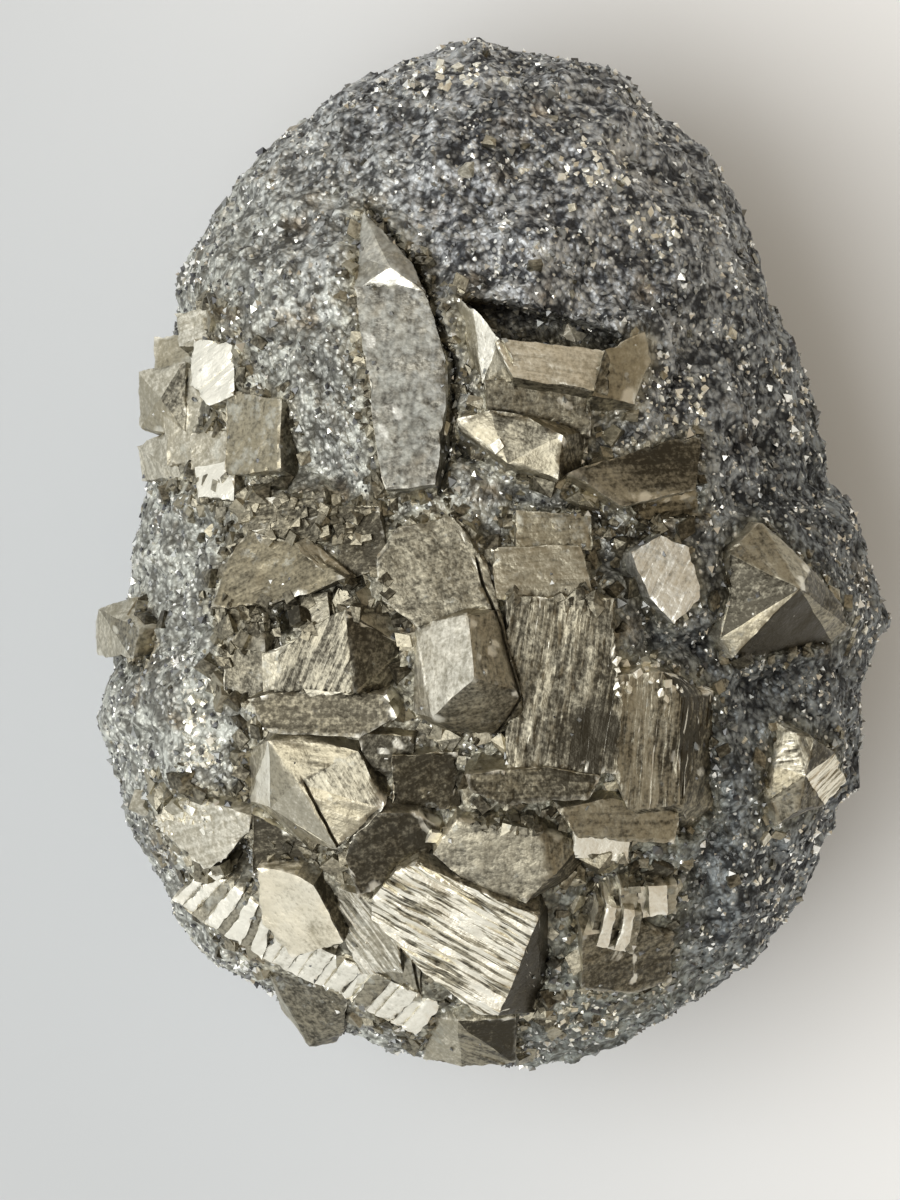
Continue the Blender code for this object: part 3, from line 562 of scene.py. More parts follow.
def distances_to_line(points, line):
    """Distances in plan from points to a line of several pieces."""
    nearest = np.full(len(points), np.inf)
    for (ax, ay), (bx, by) in zip(line, line[1:]):
        run = np.array((bx - ax, by - ay))
        offset = points[:, :2] - (ax, ay)
        share = np.clip(offset @ run / (run @ run), 0.0, 1.0)
        nearest = np.minimum(nearest, np.hypot(*(offset - share[:, None] * run).T))
    return nearest


def open_cracks(points):
    """Sinks the upper points that lie along cracks, and gives each point's share in one."""
    shares = np.zeros(len(points))
    for line, width, depth in CRACKS.values():
        share = np.clip(1.5 - distances_to_line(points, line) / (0.5 * width), 0.0, 1.0)
        share = np.where(points[:, 2] > WAIST_HEIGHT, share, 0.0)
        floor = skin_heights(points[:, 0], points[:, 1]) - depth
        points[:, 2] += (np.minimum(points[:, 2], floor) - points[:, 2]) * share
        shares = np.maximum(shares, share)
    return shares


def sink_hollows(points):
    """Sinks the upper points that lie in hollows, and gives each point's share in one."""
    shares = np.zeros(len(points))
    for outline, depth in HOLLOWS.values():
        xs, ys = zip(*outline)
        within = (points[:, 0] > min(xs)) & (points[:, 0] < max(xs))
        within &= (points[:, 1] > min(ys)) & (points[:, 1] < max(ys))
        within &= points[:, 2] > WAIST_HEIGHT
        for index in np.nonzero(within)[0]:
            x, y, z = points[index]
            share = share_in_hollow(x, y, outline)
            floor = skin_heights(x, y) - depth
            points[index, 2] = z * (1.0 - share) + min(z, floor) * share
            shares[index] = max(shares[index], share)
    return shares


def crystal_tree():
    """All the crystals' solids, for finding where they stand over the skin."""
    points = []
    faces = []
    for name in CRYSTAL_NODES:
        mesh = frame["nodes"][name].data
        start = len(points)
        points.extend(vert.co / MM for vert in mesh.vertices)
        faces.extend([start + index for index in face.vertices] for face in mesh.polygons)
    return BVHTree.FromPolygons(points, faces)


class CrystalMap:
    """Heights of the crystals over a fine grid in plan, and of the crumbs heaped round them."""

    step = 0.2
    half_width = 24.6
    half_length = 31.6
    nowhere = -100.0
    reach = 9
    crumb_drop = 0.5
    slope = 1.1
    fade = 0.9
    highest_heap = 0.9
    proud_by = 0.15

    def __init__(self, tree):
        xs = np.arange(-self.half_width, self.half_width, self.step)
        ys = np.arange(-self.half_length, self.half_length, self.step)
        x, y = np.meshgrid(xs, ys)
        skin = skin_heights(x, y)
        top = np.array([self.top_at(tree, *place) for place in zip(x.flat, y.flat)])
        top = top.reshape(x.shape)
        proud = top > skin + self.proud_by
        top = np.where(proud, top, self.nowhere)
        self.heaped = np.full(x.shape, self.nowhere)
        self.near = np.zeros(x.shape)
        for move in itertools.product(range(-self.reach, self.reach + 1), repeat=2):
            distance = math.hypot(*move) * self.step
            if distance <= self.reach * self.step:
                self.spread(top, proud, move, distance)
        self.heaped = np.minimum(self.heaped, skin + self.highest_heap)

    def spread(self, top, proud, move, distance):
        """Heaps crumbs at a distance from each crystal, and marks the places as near it."""
        heap = np.roll(top, move, (0, 1)) - self.crumb_drop - self.slope * distance
        self.heaped = np.maximum(self.heaped, heap)
        close = np.roll(proud, move, (0, 1)) * math.exp(-distance / self.fade)
        self.near = np.maximum(self.near, close)

    def top_at(self, tree, x, y):
        """Height of the crystals over a place, or a depth under them all."""
        place = straight_down(tree, x, y)[0]
        return self.nowhere if place is None or place.z < WAIST_HEIGHT else place.z

    def read(self, grid, x, y):
        """Values of one of the grids at places in plan."""
        column = np.clip((x + self.half_width) / self.step, 0, grid.shape[1] - 1.001)
        row = np.clip((y + self.half_length) / self.step, 0, grid.shape[0] - 1.001)
        left = column.astype(int)
        low = row.astype(int)
        side = column - left
        up = row - low
        lower = grid[low, left] * (1 - side) + grid[low, left + 1] * side
        upper = grid[low + 1, left] * (1 - side) + grid[low + 1, left + 1] * side
        return lower * (1 - up) + upper * up


def settle_under_crystals(point, tree):
    """Sinks a point of the skin to just under the top of a crystal that covers it."""
    cover = 0.25
    least_height = 0.1
    least_facing = 0.6
    outward = (point - CORE).normalized()
    place, normal, *_ = tree.ray_cast(CORE + outward * OUTSIDE, -outward, OUTSIDE)
    if place is None or normal.dot(outward) < least_facing:
        return point
    if height_over_skin(place) < least_height:
        return point
    crystal = (place - CORE).length
    if (point - CORE).length < crystal - cover:
        return point
    return CORE + outward * (crystal - cover)


def fine_sphere(name):
    """A unit sphere that is finer on its upper part, and the directions of its points."""
    shape = bmesh.new()
    bmesh.ops.create_icosphere(shape, subdivisions=7, radius=1.0)
    fine_above = 0.17
    fine = [edge for edge in shape.edges
            if all(vert.co.z > fine_above for vert in edge.verts)]
    bmesh.ops.subdivide_edges(shape, edges=fine, cuts=1, use_grid_fill=True)
    triangulate(shape)
    mesh = bpy.data.meshes.new(name)
    shape.to_mesh(mesh)
    shape.free()
    directions = read_all(mesh.vertices, "co", 3)
    return mesh, directions / np.linalg.norm(directions, axis=1)[:, None]


def body_mesh(name, settings):
    """The skin as fine facets: a sphere drawn out to the lumpy form and roughened."""
    rng = np.random.default_rng(BODY_SEED)
    tree = crystal_tree()
    crystals = CrystalMap(tree)
    mesh, directions = fine_sphere(name)
    points = skin_points(directions)
    crumb_height = settings.crumb_height / MM
    crumbs = two_noises(points, CRUMB_SIZE, FINE_CRUMB_SIZE)
    points += directions * (crumb_height * crumbs)[:, None]
    upper = directions[:, 2] > 0.3
    heaped = crystals.read(crystals.heaped, points[:, 0], points[:, 1])
    heaped += 0.7 * crumb_height * crumbs
    points[:, 2] = np.where(upper, np.maximum(points[:, 2], heaped), points[:, 2])
    hollow = np.maximum(sink_hollows(points), open_cracks(points))
    near = np.where(upper, crystals.read(crystals.near, points[:, 0], points[:, 1]), 0.0)
    points = np.array([settle_under_crystals(Vector(place), tree) for place in points])
    jitter = np.clip(rng.normal(0.0, 1.0, points.shape), -2.0, 2.0)
    points += jitter * settings.grain_height / MM
    points[:, 2] = np.maximum(points[:, 2], 0.0)
    mesh.vertices.foreach_set("co", (points * MM).ravel())
    keep_values(mesh, "near", near)
    keep_values(mesh, "hollow", hollow)
    mesh.update()
    return mesh


def grains(place):
    """Random numbers from 0 to 1, one for each grain, and how near a place is to its middle."""
    wander = place.clouds(WANDER_SCALE, 2.0, 0.5, output=1)
    bent = place.node("ShaderNodeVectorMath", {"operation": "MULTIPLY_ADD"},
                      {0: wander, 1: (0.3 * MM,) * 3, 2: place})
    return bent.cells(GRAIN_SCALE).part(0), 1.0 - 1.7 * bent.cells(GRAIN_SCALE, output=0)


def mottled_colour(place, settings, near):
    """Colours of the granular sulphide: bluish grey, khaki on the left and by crystals, with pale
    grains in clusters, and darker and bluer towards the lower right, partly its own colour and
    partly painted shade away from the light."""
    across, along = place.part(0), place.part(1)
    zone = place.clouds(ZONE_SCALE, 3.0, 0.6)
    khaki = (zone * 0.020 - across - along * 0.45).ramp(-0.003, 0.024) + near * 0.7
    clump = place.clouds(CLUMP_SCALE, 2.0, 0.5)
    patch = place.clouds(PATCH_SCALE, 2.0, 0.5)
    number, middle = grains(place)
    fine = place.clouds(FINE_SCALE, 2.0, 0.6)
    knot = place.clouds(KNOT_SCALE, 2.0, 0.5)
    level = 0.22 * clump + 0.28 * patch + 0.28 * knot + 0.08 * fine + 0.06 * number + 0.08 * middle
    level = level.ramp(0.385, 0.59)
    cold = level.mix(settings.dark_grain, settings.blue_grey)
    warm = level.mix(settings.dark_khaki, settings.khaki_grey)
    colour = khaki.ramp(0.0, 1.0).mix(cold, warm)
    light = (number + 1.5 * (place.clouds(CLUSTER_SCALE, 2.0, 0.5) - 0.5)).ramp(0.70, 1.0)
    colour = (light * middle.ramp(0.1, 0.5) * 0.45).mix(colour, settings.pale_grain)
    # Partly painted shade: the body turns darker and bluer towards the lower right, away from the
    # light, besides its own bluer grey there
    shade = (across - along * 0.38).ramp(-0.002, 0.019)
    colour = (shade * 0.9).mix(colour, settings.lower_right_tint_and_shade, "MULTIPLY")
    brown = place.clouds(STAIN_SCALE, 3.0, 0.6).ramp(0.58, 0.70)
    return (brown * 0.6).mix(colour, settings.brown_stain, "MULTIPLY")


def specks(place, scale, share):
    """Where small bright grains show: single cells, more of them in clusters. They stand partly
    for pale grains and partly for painted glints.
    """
    shape = place.cells(scale, output=0)
    number = place.cells(scale).part(0)
    cluster = place.clouds(CLUSTER_SCALE, 2.0, 0.5).ramp(0.45, 0.68)
    chosen = (number + 2.5 * share * cluster).ramp(1.0 - share, 1.02 - share)
    return chosen * shape.ramp(0.55, 0.3)


def body_material(settings):
    """Grey granular sulphide with pale grains that shine. Its pale specks are partly pale grains
    and partly painted glints.
    """
    material, shader, start = new_material("granular sulphide")
    place = object_place(start)
    near = attribute(start, "near")
    colour = mottled_colour(place, settings, near)
    colour = (near.ramp(0.2, 0.8) * 0.6).mix(colour, settings.by_crystals, "MULTIPLY")
    # Pale specks: partly pale grains, partly painted glints
    speck_and_painted_glint = specks(place, SPECK_SCALE, settings.speck_share)
    colour = (speck_and_painted_glint * 0.85).mix(colour, settings.pale_grain)
    # Painted shade: grooves and creases are darkened towards the dark grain colour
    bend = sharpness(start)
    colour = (bend.ramp(0.50, 0.40) * 0.6).mix(colour, settings.dark_grain)
    # Painted shade inside hollows and cracks
    hollow = attribute(start, "hollow")
    colour = (hollow * 0.8).mix(colour, settings.hollow_shade, "MULTIPLY")
    feed(colour, shader, "Base Color")
    feed(0.42 + 0.2 * place.clouds(SHINE_SCALE) - 0.2 * speck_and_painted_glint, shader, "Roughness")
    relief = 0.8 * place.clouds(RELIEF_SCALE, 4.0, 0.65) + 0.35 * grains(place)[1]
    tilt = tilted_normal(start, place.cells(GRAIN_SCALE), settings.grain_tilt)
    feed_bump(relief, tilt, 0.7, 0.35 * MM, shader)
    shader.inputs["Metallic"].default_value = settings.metal
    return material


# Crystals

class Facet:
    """One flat crystal face, with the directions and lines of its striations."""

    def __init__(self, face, number, look):
        self.number = number
        self.rng = np.random.default_rng(FACET_SEED + number)
        self.centre = face.calc_center_median()
        self.normal = face.normal.copy()
        if look is None:
            look = self.plain_look(face)
        direction, self.spacing, self.strength, self.tone, self.warmth = look
        direction = math.radians(direction)
        along = Vector((math.cos(direction), math.sin(direction), 0.0))
        along -= self.normal * along.dot(self.normal)
        if along.length < 0.1:
            along = self.normal.orthogonal()
        self.along = along.normalized()
        self.across = self.normal.cross(self.along)
        self.rows = self.lines(face)
        self.seeds = self.rng.uniform(0.0, 90.0, (len(self.rows) + 1, 2))

    def plain_look(self, face):
        """A look for a face that the list leaves out, with its tone painted: darker where it leans
        away from the light, to the right, and a little paler where it leans back.
        """
        longest = max(face.edges, key=lambda edge: edge.calc_length())
        run = longest.verts[1].co - longest.verts[0].co
        direction = math.degrees(math.atan2(run.y, run.x))
        # Painted shade: the tone falls as the face leans right, away from the light
        tone = 0.42 - 0.28 * self.normal.x + 0.12 * self.normal.y + self.rng.uniform(-0.12, 0.12)
        return (direction, self.rng.uniform(0.7, 1.2), self.rng.uniform(0.1, 0.4),
                min(0.9, max(0.1, tone)), self.rng.uniform(0.3, 0.8))

    def lines(self, face):
        """Places of the striations across the face, unevenly spaced."""
        reach = [(vert.co - self.centre).dot(self.across) for vert in face.verts]
        margin = 0.1
        places = []
        place = min(reach) + self.spacing * self.rng.uniform(0.4, 1.0)
        while place < max(reach) - margin:
            places.append(place)
            place += self.spacing * self.rng.uniform(0.5, 1.5)
        return places

    def height(self, point):
        """How far a point of the face stands out, by the strip it lies in."""
        place = point - self.centre
        across = place.dot(self.across)
        along = place.dot(self.along)
        row = bisect.bisect(self.rows, across)
        low = self.rows[row - 1] if row else across
        high = self.rows[row] if row < len(self.rows) else across
        step_run = 2.2
        level = noise.noise(Vector((along / step_run, self.seeds[row, 0], 0.0)))
        slope = noise.noise(Vector((along / step_run, self.seeds[row, 1], 7.0)))
        rise = self.spacing * (0.04 + 0.22 * self.strength)
        return rise * level + 0.9 * self.strength ** 2 * slope * (across - (low + high) / 2.0)


def cut_faces(shape, faces, place, across, merge):
    """Cuts faces by a plane, and gives the faces that they become."""
    pieces = dict.fromkeys(faces)
    for face in faces:
        pieces.update(dict.fromkeys(face.edges))
        pieces.update(dict.fromkeys(face.verts))
    cut = bmesh.ops.bisect_plane(shape, geom=list(pieces), dist=merge, plane_co=place,
                                 plane_no=across)
    return [item for item in cut["geom"] if isinstance(item, bmesh.types.BMFace)]


def cut_facet(shape, face, facet):
    """Cuts a face along its striations, twice at each line for a crisp step."""
    faces = [face]
    for row in facet.rows:
        for side in (-HALF_STEP, HALF_STEP):
            place = facet.centre + facet.across * (row + side)
            faces = cut_faces(shape, faces, place, facet.across, 1e-6)


def seam_share(point):
    """How deep in a seam a place is, from 0 at its edges to 1 along its middle."""
    place = np.array([tuple(point)])
    nearest = min(float(distances_to_line(place, line)[0]) for line in SEAMS.values())
    return max(0.0, 1.0 - nearest / (0.5 * SEAM_WIDTH))


def patch_tone(point):
    """How much darker than the rest of its face a place is."""
    change = 0.0
    wobble = 0.4 * noise.noise(point / 1.1)
    for (x, y), (half_x, half_y), amount in TONE_PATCHES.values():
        reach = math.hypot((point.x - x) / half_x, (point.y - y) / half_y) + wobble
        change += amount * min(1.0, max(0.0, 1.6 - 1.3 * reach))
    return change


def cut_seams(shape):
    """Cuts the upper faces along the middle and both edges of each seam."""
    reach = 3.0
    for line in SEAMS.values():
        for start, end in zip(line, line[1:]):
            run = Vector((end[0] - start[0], end[1] - start[1], 0.0))
            across = Vector((-run.y, run.x, 0.0)).normalized()
            middle = Vector((start[0] + end[0], start[1] + end[1], 0.0)) / 2.0
            faces = [face for face in shape.faces if face.normal.z > 0.3
                     and (face.calc_center_median() - middle).xy.length < reach + run.length]
            for offset in (-0.5 * SEAM_WIDTH, 0.0, 0.5 * SEAM_WIDTH):
                faces = cut_faces(shape, faces, middle + across * offset, across, 1e-5)


def whole_faces(name):
    """A CAD node's shape in millimetres, with its flat faces whole again."""
    shape = bmesh.new()
    shape.from_mesh(frame["nodes"][name].data)
    bmesh.ops.scale(shape, vec=(1.0 / MM,) * 3, verts=shape.verts[:])
    same_place = 0.0005
    bmesh.ops.remove_doubles(shape, verts=shape.verts[:], dist=same_place)
    bmesh.ops.dissolve_limit(shape, angle_limit=math.radians(FLAT_WITHIN), verts=shape.verts[:],
                             edges=shape.edges[:])
    shape.faces.ensure_lookup_table()
    return shape


def face_under(tree, x, y):
    """The number of the upper face that a place in plan lies on."""
    place, _, number = straight_down(tree, x, y)
    return None if place is None or place.z < WAIST_HEIGHT else number


def flight_looks(tree, known):
    """The looks of the steps that the flights cross, where a face has no look yet."""
    found = {}
    for start, end, (direction, spacing, strength, warmth), tones in FLIGHTS.values():
        steps = 0
        for index in range(TRIES_ALONG_A_FLIGHT):
            share = (index + 0.5) / TRIES_ALONG_A_FLIGHT
            struck = face_under(tree, start[0] + (end[0] - start[0]) * share,
                                start[1] + (end[1] - start[1]) * share)
            if struck is None or struck in known or struck in found:
                continue
            found[struck] = (direction, spacing, strength, tones[steps % 2], warmth)
            steps += 1
    return found


def looks_by_face(shape):
    """The looks of the faces of a shape that the lists name, by face number."""
    tree = BVHTree.FromBMesh(shape)
    found = {}
    for x, y, *look in FACES.values():
        struck = face_under(tree, x, y)
        if struck is not None:
            found.setdefault(struck, look)
    return found | flight_looks(tree, found)


def refine(shape, number, longest):
    """Divides the edges of the numbered faces until none is longer than a length."""
    most_rounds = 7
    for _ in range(most_rounds):
        long_edges = [edge for edge in shape.edges
                      if edge.calc_length() > longest
                      and any(face[number] for face in edge.link_faces)]
        if not long_edges:
            break
        bmesh.ops.subdivide_edges(shape, edges=long_edges, cuts=1)
        triangulate(shape)


def crystal_mesh(name, settings, seed):
    """A crystal or cluster with stepped, striated faces, chipped edges and a slight warp."""
    shape = whole_faces(name)
    number = shape.faces.layers.int.new("facet")
    looks = looks_by_face(shape)
    shown = [face for face in shape.faces
             if max(height_over_skin(vert.co) for vert in face.verts) > BURIED]
    facets = [Facet(face, seed * 100 + index, looks.get(face.index))
              for index, face in enumerate(shown)]
    for index, face in enumerate(shown):
        face[number] = index + 1
    for face, facet in zip(shown, facets):
        if facet.strength > CUT_FROM:
            cut_facet(shape, face, facet)
    if name == "main_crystal_cluster":
        cut_seams(shape)
    triangulate(shape)
    refine(shape, number, settings.fineness / MM)
    dress_faces(shape, facets, number)
    move_vertices(shape, facets, number, settings)
    bmesh.ops.scale(shape, vec=(MM,) * 3, verts=shape.verts[:])
    mesh = bpy.data.meshes.new(name + "_faces")
    shape.to_mesh(mesh)
    shape.free()
    mesh.shade_smooth()
    mesh.set_sharp_from_angle(angle=math.radians(SHARP_FROM))
    return mesh


def dress_faces(shape, facets, number):
    """Keeps each face's tone, warmth and strength of striation, and the place along them."""
    tone = shape.faces.layers.float.new("tone")
    warmth = shape.faces.layers.float.new("warmth")
    strength = shape.faces.layers.float.new("strength")
    places = shape.loops.layers.uv.new("striation")
    for face in shape.faces:
        if not face[number]:
            continue
        facet = facets[face[number] - 1]
        face[tone] = facet.tone
        face[warmth] = facet.warmth
        face[strength] = facet.strength
        for loop in face.loops:
            place = loop.vert.co - facet.centre
            loop[places].uv = (place.dot(facet.across) + facet.number, place.dot(facet.along))


def chip_move(place, met, depth):
    """How far an edge where several faces meet is bitten in at a place."""
    inward = -sum((facet.normal for facet in met), Vector())
    sharp = 1.0 - min(1.0, inward.length / len(met)) ** 8
    bite = max(0.0, noise.noise(place / 0.5) + 0.2)
    bite += 1.8 * max(0.0, noise.noise(place / 1.8) - 0.15)
    return inward.normalized() * bite * depth * sharp


def smooth_vector(place):
    """A random vector that changes smoothly from place to place, the same in every run."""
    return Vector([noise.noise(place + apart) for apart in NOISES_APART])


def face_move(place, met, settings):
    """How far a place moves for the steps, the warp and the chips of the faces that meet there."""
    warp = settings.warp / MM
    move = sum((facet.normal * facet.height(place) for facet in met), Vector())
    move += smooth_vector(place / WARP_SIZE) * warp
    move += smooth_vector(place / FINE_WARP_SIZE) * warp * 0.45
    if len(met) > 1:
        move += chip_move(place, met, settings.chip / MM)
    return move


def move_vertices(shape, facets, number, settings):
    """Gives the faces their steps, chips their edges and warps the whole a little. It also keeps
    how near each point is to the body, how deep in a seam it is and how much it is dimmed."""
    foot = shape.verts.layers.float.new("foot")
    seam = shape.verts.layers.float.new("seam")
    dimmed = shape.verts.layers.float.new("dimmed")
    moves = []
    for vert in shape.verts:
        numbers = {face[number] - 1 for face in vert.link_faces if face[number]}
        if not numbers:
            moves.append(Vector())
            continue
        move = face_move(vert.co, [facets[index] for index in numbers], settings)
        vert[foot] = max(0.0, 1.0 - max(0.0, height_over_skin(vert.co)) / FOOT_HEIGHT)
        vert[seam] = seam_share(vert.co)
        vert[dimmed] = patch_tone(vert.co)
        move.z -= SEAM_DEPTH * vert[seam]
        moves.append(move)
    for vert, move in zip(shape.verts, moves):
        vert.co += move


def clean_colour(start, place, level, settings, palette, edges):
    """Colours of clean faces, from dark to pale by level, with brown tarnish, and with painted
    highlights on ridges and painted shade in grooves."""
    dark, middle, pale = palette
    blotches = place.clouds(CLUSTER_SCALE, 3.0, 0.6) - 0.5
    level = level + 0.3 * blotches
    colour = level.ramp(0.0, 0.55).mix(dark, middle)
    colour = level.ramp(0.5, 1.05).mix(colour, pale)
    brown = (attribute(start, "warmth") * 0.8 + 0.7 * blotches).ramp(0.1, 1.0)
    colour = (brown * 0.6).mix(colour, settings.tarnish, "MULTIPLY")
    # Painted highlights on ridges and painted shade in grooves, as strong as edges
    bend = sharpness(start)
    colour = (bend.ramp(0.53, 0.62) * edges).mix(colour, pale)
    return (bend.ramp(0.485, 0.42) * edges).mix(colour, dark)


def crystal_material(name, settings, palette, coating, edges):
    """Metallic crystal faces: tone and warmth by face, fine striations and dull crumbs, with
    painted highlights on ridges, painted shade in grooves and painted glints.
    """
    material, shader, start = new_material(name)
    place = object_place(start)
    tone = attribute(start, "tone") - attribute(start, "dimmed")
    strength = attribute(start, "strength")
    foot = attribute(start, "foot")
    lines = attribute(start, "striation", output=1)
    streaks = lines.stretched(STREAKS).clouds(1.0, 3.0, 0.55)
    fine_streaks = lines.stretched(FINE_STREAKS).clouds(1.0, 2.0, 0.6)
    pits = place.clouds(PITS_SCALE, 2.0, 0.6)
    fine_pits = place.clouds(FINE_PITS_SCALE, 2.0, 0.6)
    striped = 1.55 * (streaks.ramp(0.40, 0.60) - 0.5) + 1.4 * (fine_streaks - 0.5)
    level = tone + 0.4 * (pits - 0.5) + 0.7 * (fine_pits - 0.5)
    level = level + striped * (strength ** 2.6 + 0.04)
    colour = clean_colour(start, place, level, settings, palette, edges)
    crumbs = place.clouds(PATCH_SCALE, 4.0, 0.7)
    plainness = (tone - 0.45).maths("ABSOLUTE")
    coat = (crumbs + 0.16 * foot + coating - 0.28 * plainness).ramp(0.58, 0.72)
    colour = (coat * 0.42).mix(colour, mottled_colour(place, bpy.context.scene.nodule_body, foot))
    # Painted glints: tiny pale specks over the faces
    colour = (specks(place, PAINTED_GLINT_SCALE, 0.003) * 0.8).mix(colour, palette[2])
    colour = (attribute(start, "seam") * 0.8).mix(colour, settings.seam, "MULTIPLY")
    feed(colour, shader, "Base Color")
    feed(settings.roughness + 0.15 * (pits - 0.5) + 0.18 * coat, shader, "Roughness")
    relief = 0.8 * pits + 0.5 * fine_pits + 0.6 * crumbs
    relief = relief + (streaks + 0.6 * fine_streaks) * strength
    tilt = tilted_normal(start, place.cells(FACET_SCALE), settings.facet_tilt)
    feed_bump(relief, tilt, 0.6, 0.1 * MM, shader)
    shader.inputs["Metallic"].default_value = 0.9
    return material


# Small crystals, grains and glints

# A grain is an octahedron, here with its corners 0.62 of its size from the middle
GRAIN_CORNERS = 0.62 * np.array([(1, 0, 0), (-1, 0, 0), (0, 1, 0), (0, -1, 0), (0, 0, 1),
                                 (0, 0, -1)], float)
GRAIN_SIDES = np.array([(0, 2, 4), (2, 1, 4), (1, 3, 4), (3, 0, 4), (2, 0, 5), (1, 2, 5),
                        (3, 1, 5), (0, 3, 5)])


def random_turns(rng, count):
    """Rotation matrices in all directions."""
    quaternions = rng.normal(0.0, 1.0, (count, 4))
    quaternions /= np.linalg.norm(quaternions, axis=1)[:, None]
    w, x, y, z = quaternions.T
    rows = [1 - 2 * (y * y + z * z), 2 * (x * y - z * w), 2 * (x * z + y * w),
            2 * (x * y + z * w), 1 - 2 * (x * x + z * z), 2 * (y * z - x * w),
            2 * (x * z - y * w), 2 * (y * z + x * w), 1 - 2 * (x * x + y * y)]
    return np.stack(rows, axis=1).reshape(count, 3, 3)


def places_on_body(mesh, clustering):
    """Faces of the body that grains may lie on: middles, normals and weights."""
    centres, normals, areas = face_values(mesh)
    covered = point_values_on_faces(mesh, "near") > 0.97
    on_floor = centres[:, 2] < 0.3 * MM
    below = 0.55
    weights = np.where(centres[:, 2] - WAIST_HEIGHT * MM > 0.0, areas, below * areas)
    weights = weights * np.exp(clustering * two_noises(centres, 2.6 * MM, 0.9 * MM))
    weights[covered | on_floor] = 0.0
    return centres, normals, weights


def places_on_crystals(pieces, clustering):
    """Faces of the crystals that grains may lie on, most of them near the foot."""
    found = []
    for piece in pieces:
        mesh = piece.data
        centres, normals, areas = face_values(mesh)
        foot = point_values_on_faces(mesh, "foot")
        cluster = np.array([noise.noise(Vector(place) / (1.3 * MM)) for place in centres])
        share = 0.10 + 0.9 * np.clip(foot, 0.0, 1.0) ** 3
        weights = areas * share * np.exp(clustering * cluster)
        weights[foot == 0.0] *= 0.4
        tone = read_all(mesh.attributes["tone"].data, "value", kind=np.float32)
        weights *= np.clip(1.7 - 1.4 * tone, 0.1, 1.0)
        found.append((centres, normals, weights))
    return tuple(np.concatenate(values) for values in zip(*found))


def scattered_mesh(name, seed, size, sinks, sources, counts):
    """Many small faceted grains on the skin and the crystals, joined in one mesh."""
    rng = np.random.default_rng(seed)
    places = []
    outward = []
    for (centres, normals, weights), count in zip(sources, counts):
        picks = rng.choice(len(centres), count, p=weights / weights.sum())
        places.append(centres[picks])
        outward.append(normals[picks])
    total = sum(counts)
    spread = 0.35
    sizes = np.clip(rng.lognormal(math.log(size), spread, total), 0.45 * size, 2.4 * size)
    stretch = rng.uniform(0.6, 1.3, (total, 1, 3))
    turned = np.einsum("nij,nkj->nki", random_turns(rng, total), GRAIN_CORNERS[None] * stretch)
    sink = sizes * rng.uniform(*sinks, total)
    middles = np.concatenate(places) + np.concatenate(outward) * sink[:, None]
    points = turned * sizes[:, None, None] + middles[:, None, :]
    points[..., 2] = np.maximum(points[..., 2], 0.0)
    each = len(GRAIN_CORNERS)
    faces = GRAIN_SIDES[None] + each * np.arange(total)[:, None, None]
    mesh = bpy.data.meshes.new(name)
    mesh.from_pydata(points.reshape(-1, 3).tolist(), [], faces.reshape(-1, 3).tolist())
    keep_values(mesh, "tone", np.repeat(rng.uniform(0.0, 1.0, total), each))
    return mesh


def faceted_block(rng):
    """A rough block with flat faces, as corners and faces: a box with its corners shifted."""
    shape = bmesh.new()
    unevenness = 0.16
    for x in (-0.5, 0.5):
        for y in (-0.5, 0.5):
            for z in (-0.5, 0.5):
                shape.verts.new(Vector((x, y, z)) + Vector(rng.uniform(-1.0, 1.0, 3)) * unevenness)
    for side in rng.choice(6, 3, replace=False):
        bulge = Vector((0.0, 0.0, 0.0))
        bulge[side // 2] = 0.62 if side % 2 else -0.62
        shape.verts.new(bulge + Vector(rng.uniform(-0.2, 0.2, 3)))
    made = bmesh.ops.convex_hull(shape, input=shape.verts[:])
    spare = {item for item in made["geom_interior"] + made["geom_unused"]
             if isinstance(item, bmesh.types.BMVert)}
    bmesh.ops.delete(shape, geom=list(spare), context="VERTS")
    bmesh.ops.recalc_face_normals(shape, faces=shape.faces[:])
    shape.verts.index_update()
    points = [vert.co.copy() for vert in shape.verts]
    faces = [[vert.index for vert in face.verts] for face in shape.faces]
    shape.free()
    return points, faces


class Ground:
    """The upper surface of the body and the crystals, in metres, for setting blocks down on."""

    def __init__(self, body):
        points = [vert.co for vert in body.vertices]
        faces = [tuple(face.vertices) for face in body.polygons]
        self.body = BVHTree.FromPolygons(points, faces)
        self.crystals = crystal_tree()

    def under(self, x, y):
        """The place and the normal of the surface under a place in plan, in millimetres. Both
        are None beside the nodule."""
        place, normal, _ = straight_down(self.body, x, y, MM)
        crystal, crystal_normal, _ = straight_down(self.crystals, x, y)
        if crystal is not None and (place is None or crystal.z * MM > place.z):
            return crystal * MM, crystal_normal
        return place, normal


def stones_on_body(rng, body, settings):
    """Small crystals beside the large ones, and others far from them. Each stone has its place,
    the way out of the surface, its length in metres, its tone and its warmth."""
    centres, normals, weights = places_on_body(body, 1.0)
    near = point_values_on_faces(body, "near")
    weights[point_values_on_faces(body, "hollow") > 0.1] = 0.0
    beside = weights * np.clip(near - 0.25, 0.0, 1.0)
    elsewhere = weights * (near < 0.3)
    sparse_right_of = 7.5 * MM
    beside[centres[:, 0] > sparse_right_of] *= 0.3
    stones = []
    for pick in rng.choice(len(centres), settings.near_count, p=beside / beside.sum()):
        length = min(2.4 * settings.near_size, rng.lognormal(math.log(settings.near_size), 0.5))
        tone = settings.near_tone + rng.uniform(-0.2, 0.2)
        stones.append((Vector(centres[pick]), Vector(normals[pick]), length, tone, 0.5))
    for pick in rng.choice(len(centres), settings.far_count, p=elsewhere / elsewhere.sum()):
        length = min(2.2 * settings.far_size, rng.lognormal(math.log(settings.far_size), 0.4))
        tone = settings.far_tone + rng.random() ** 3
        stones.append((Vector(centres[pick]), Vector(normals[pick]), length, tone, 0.2))
    return stones


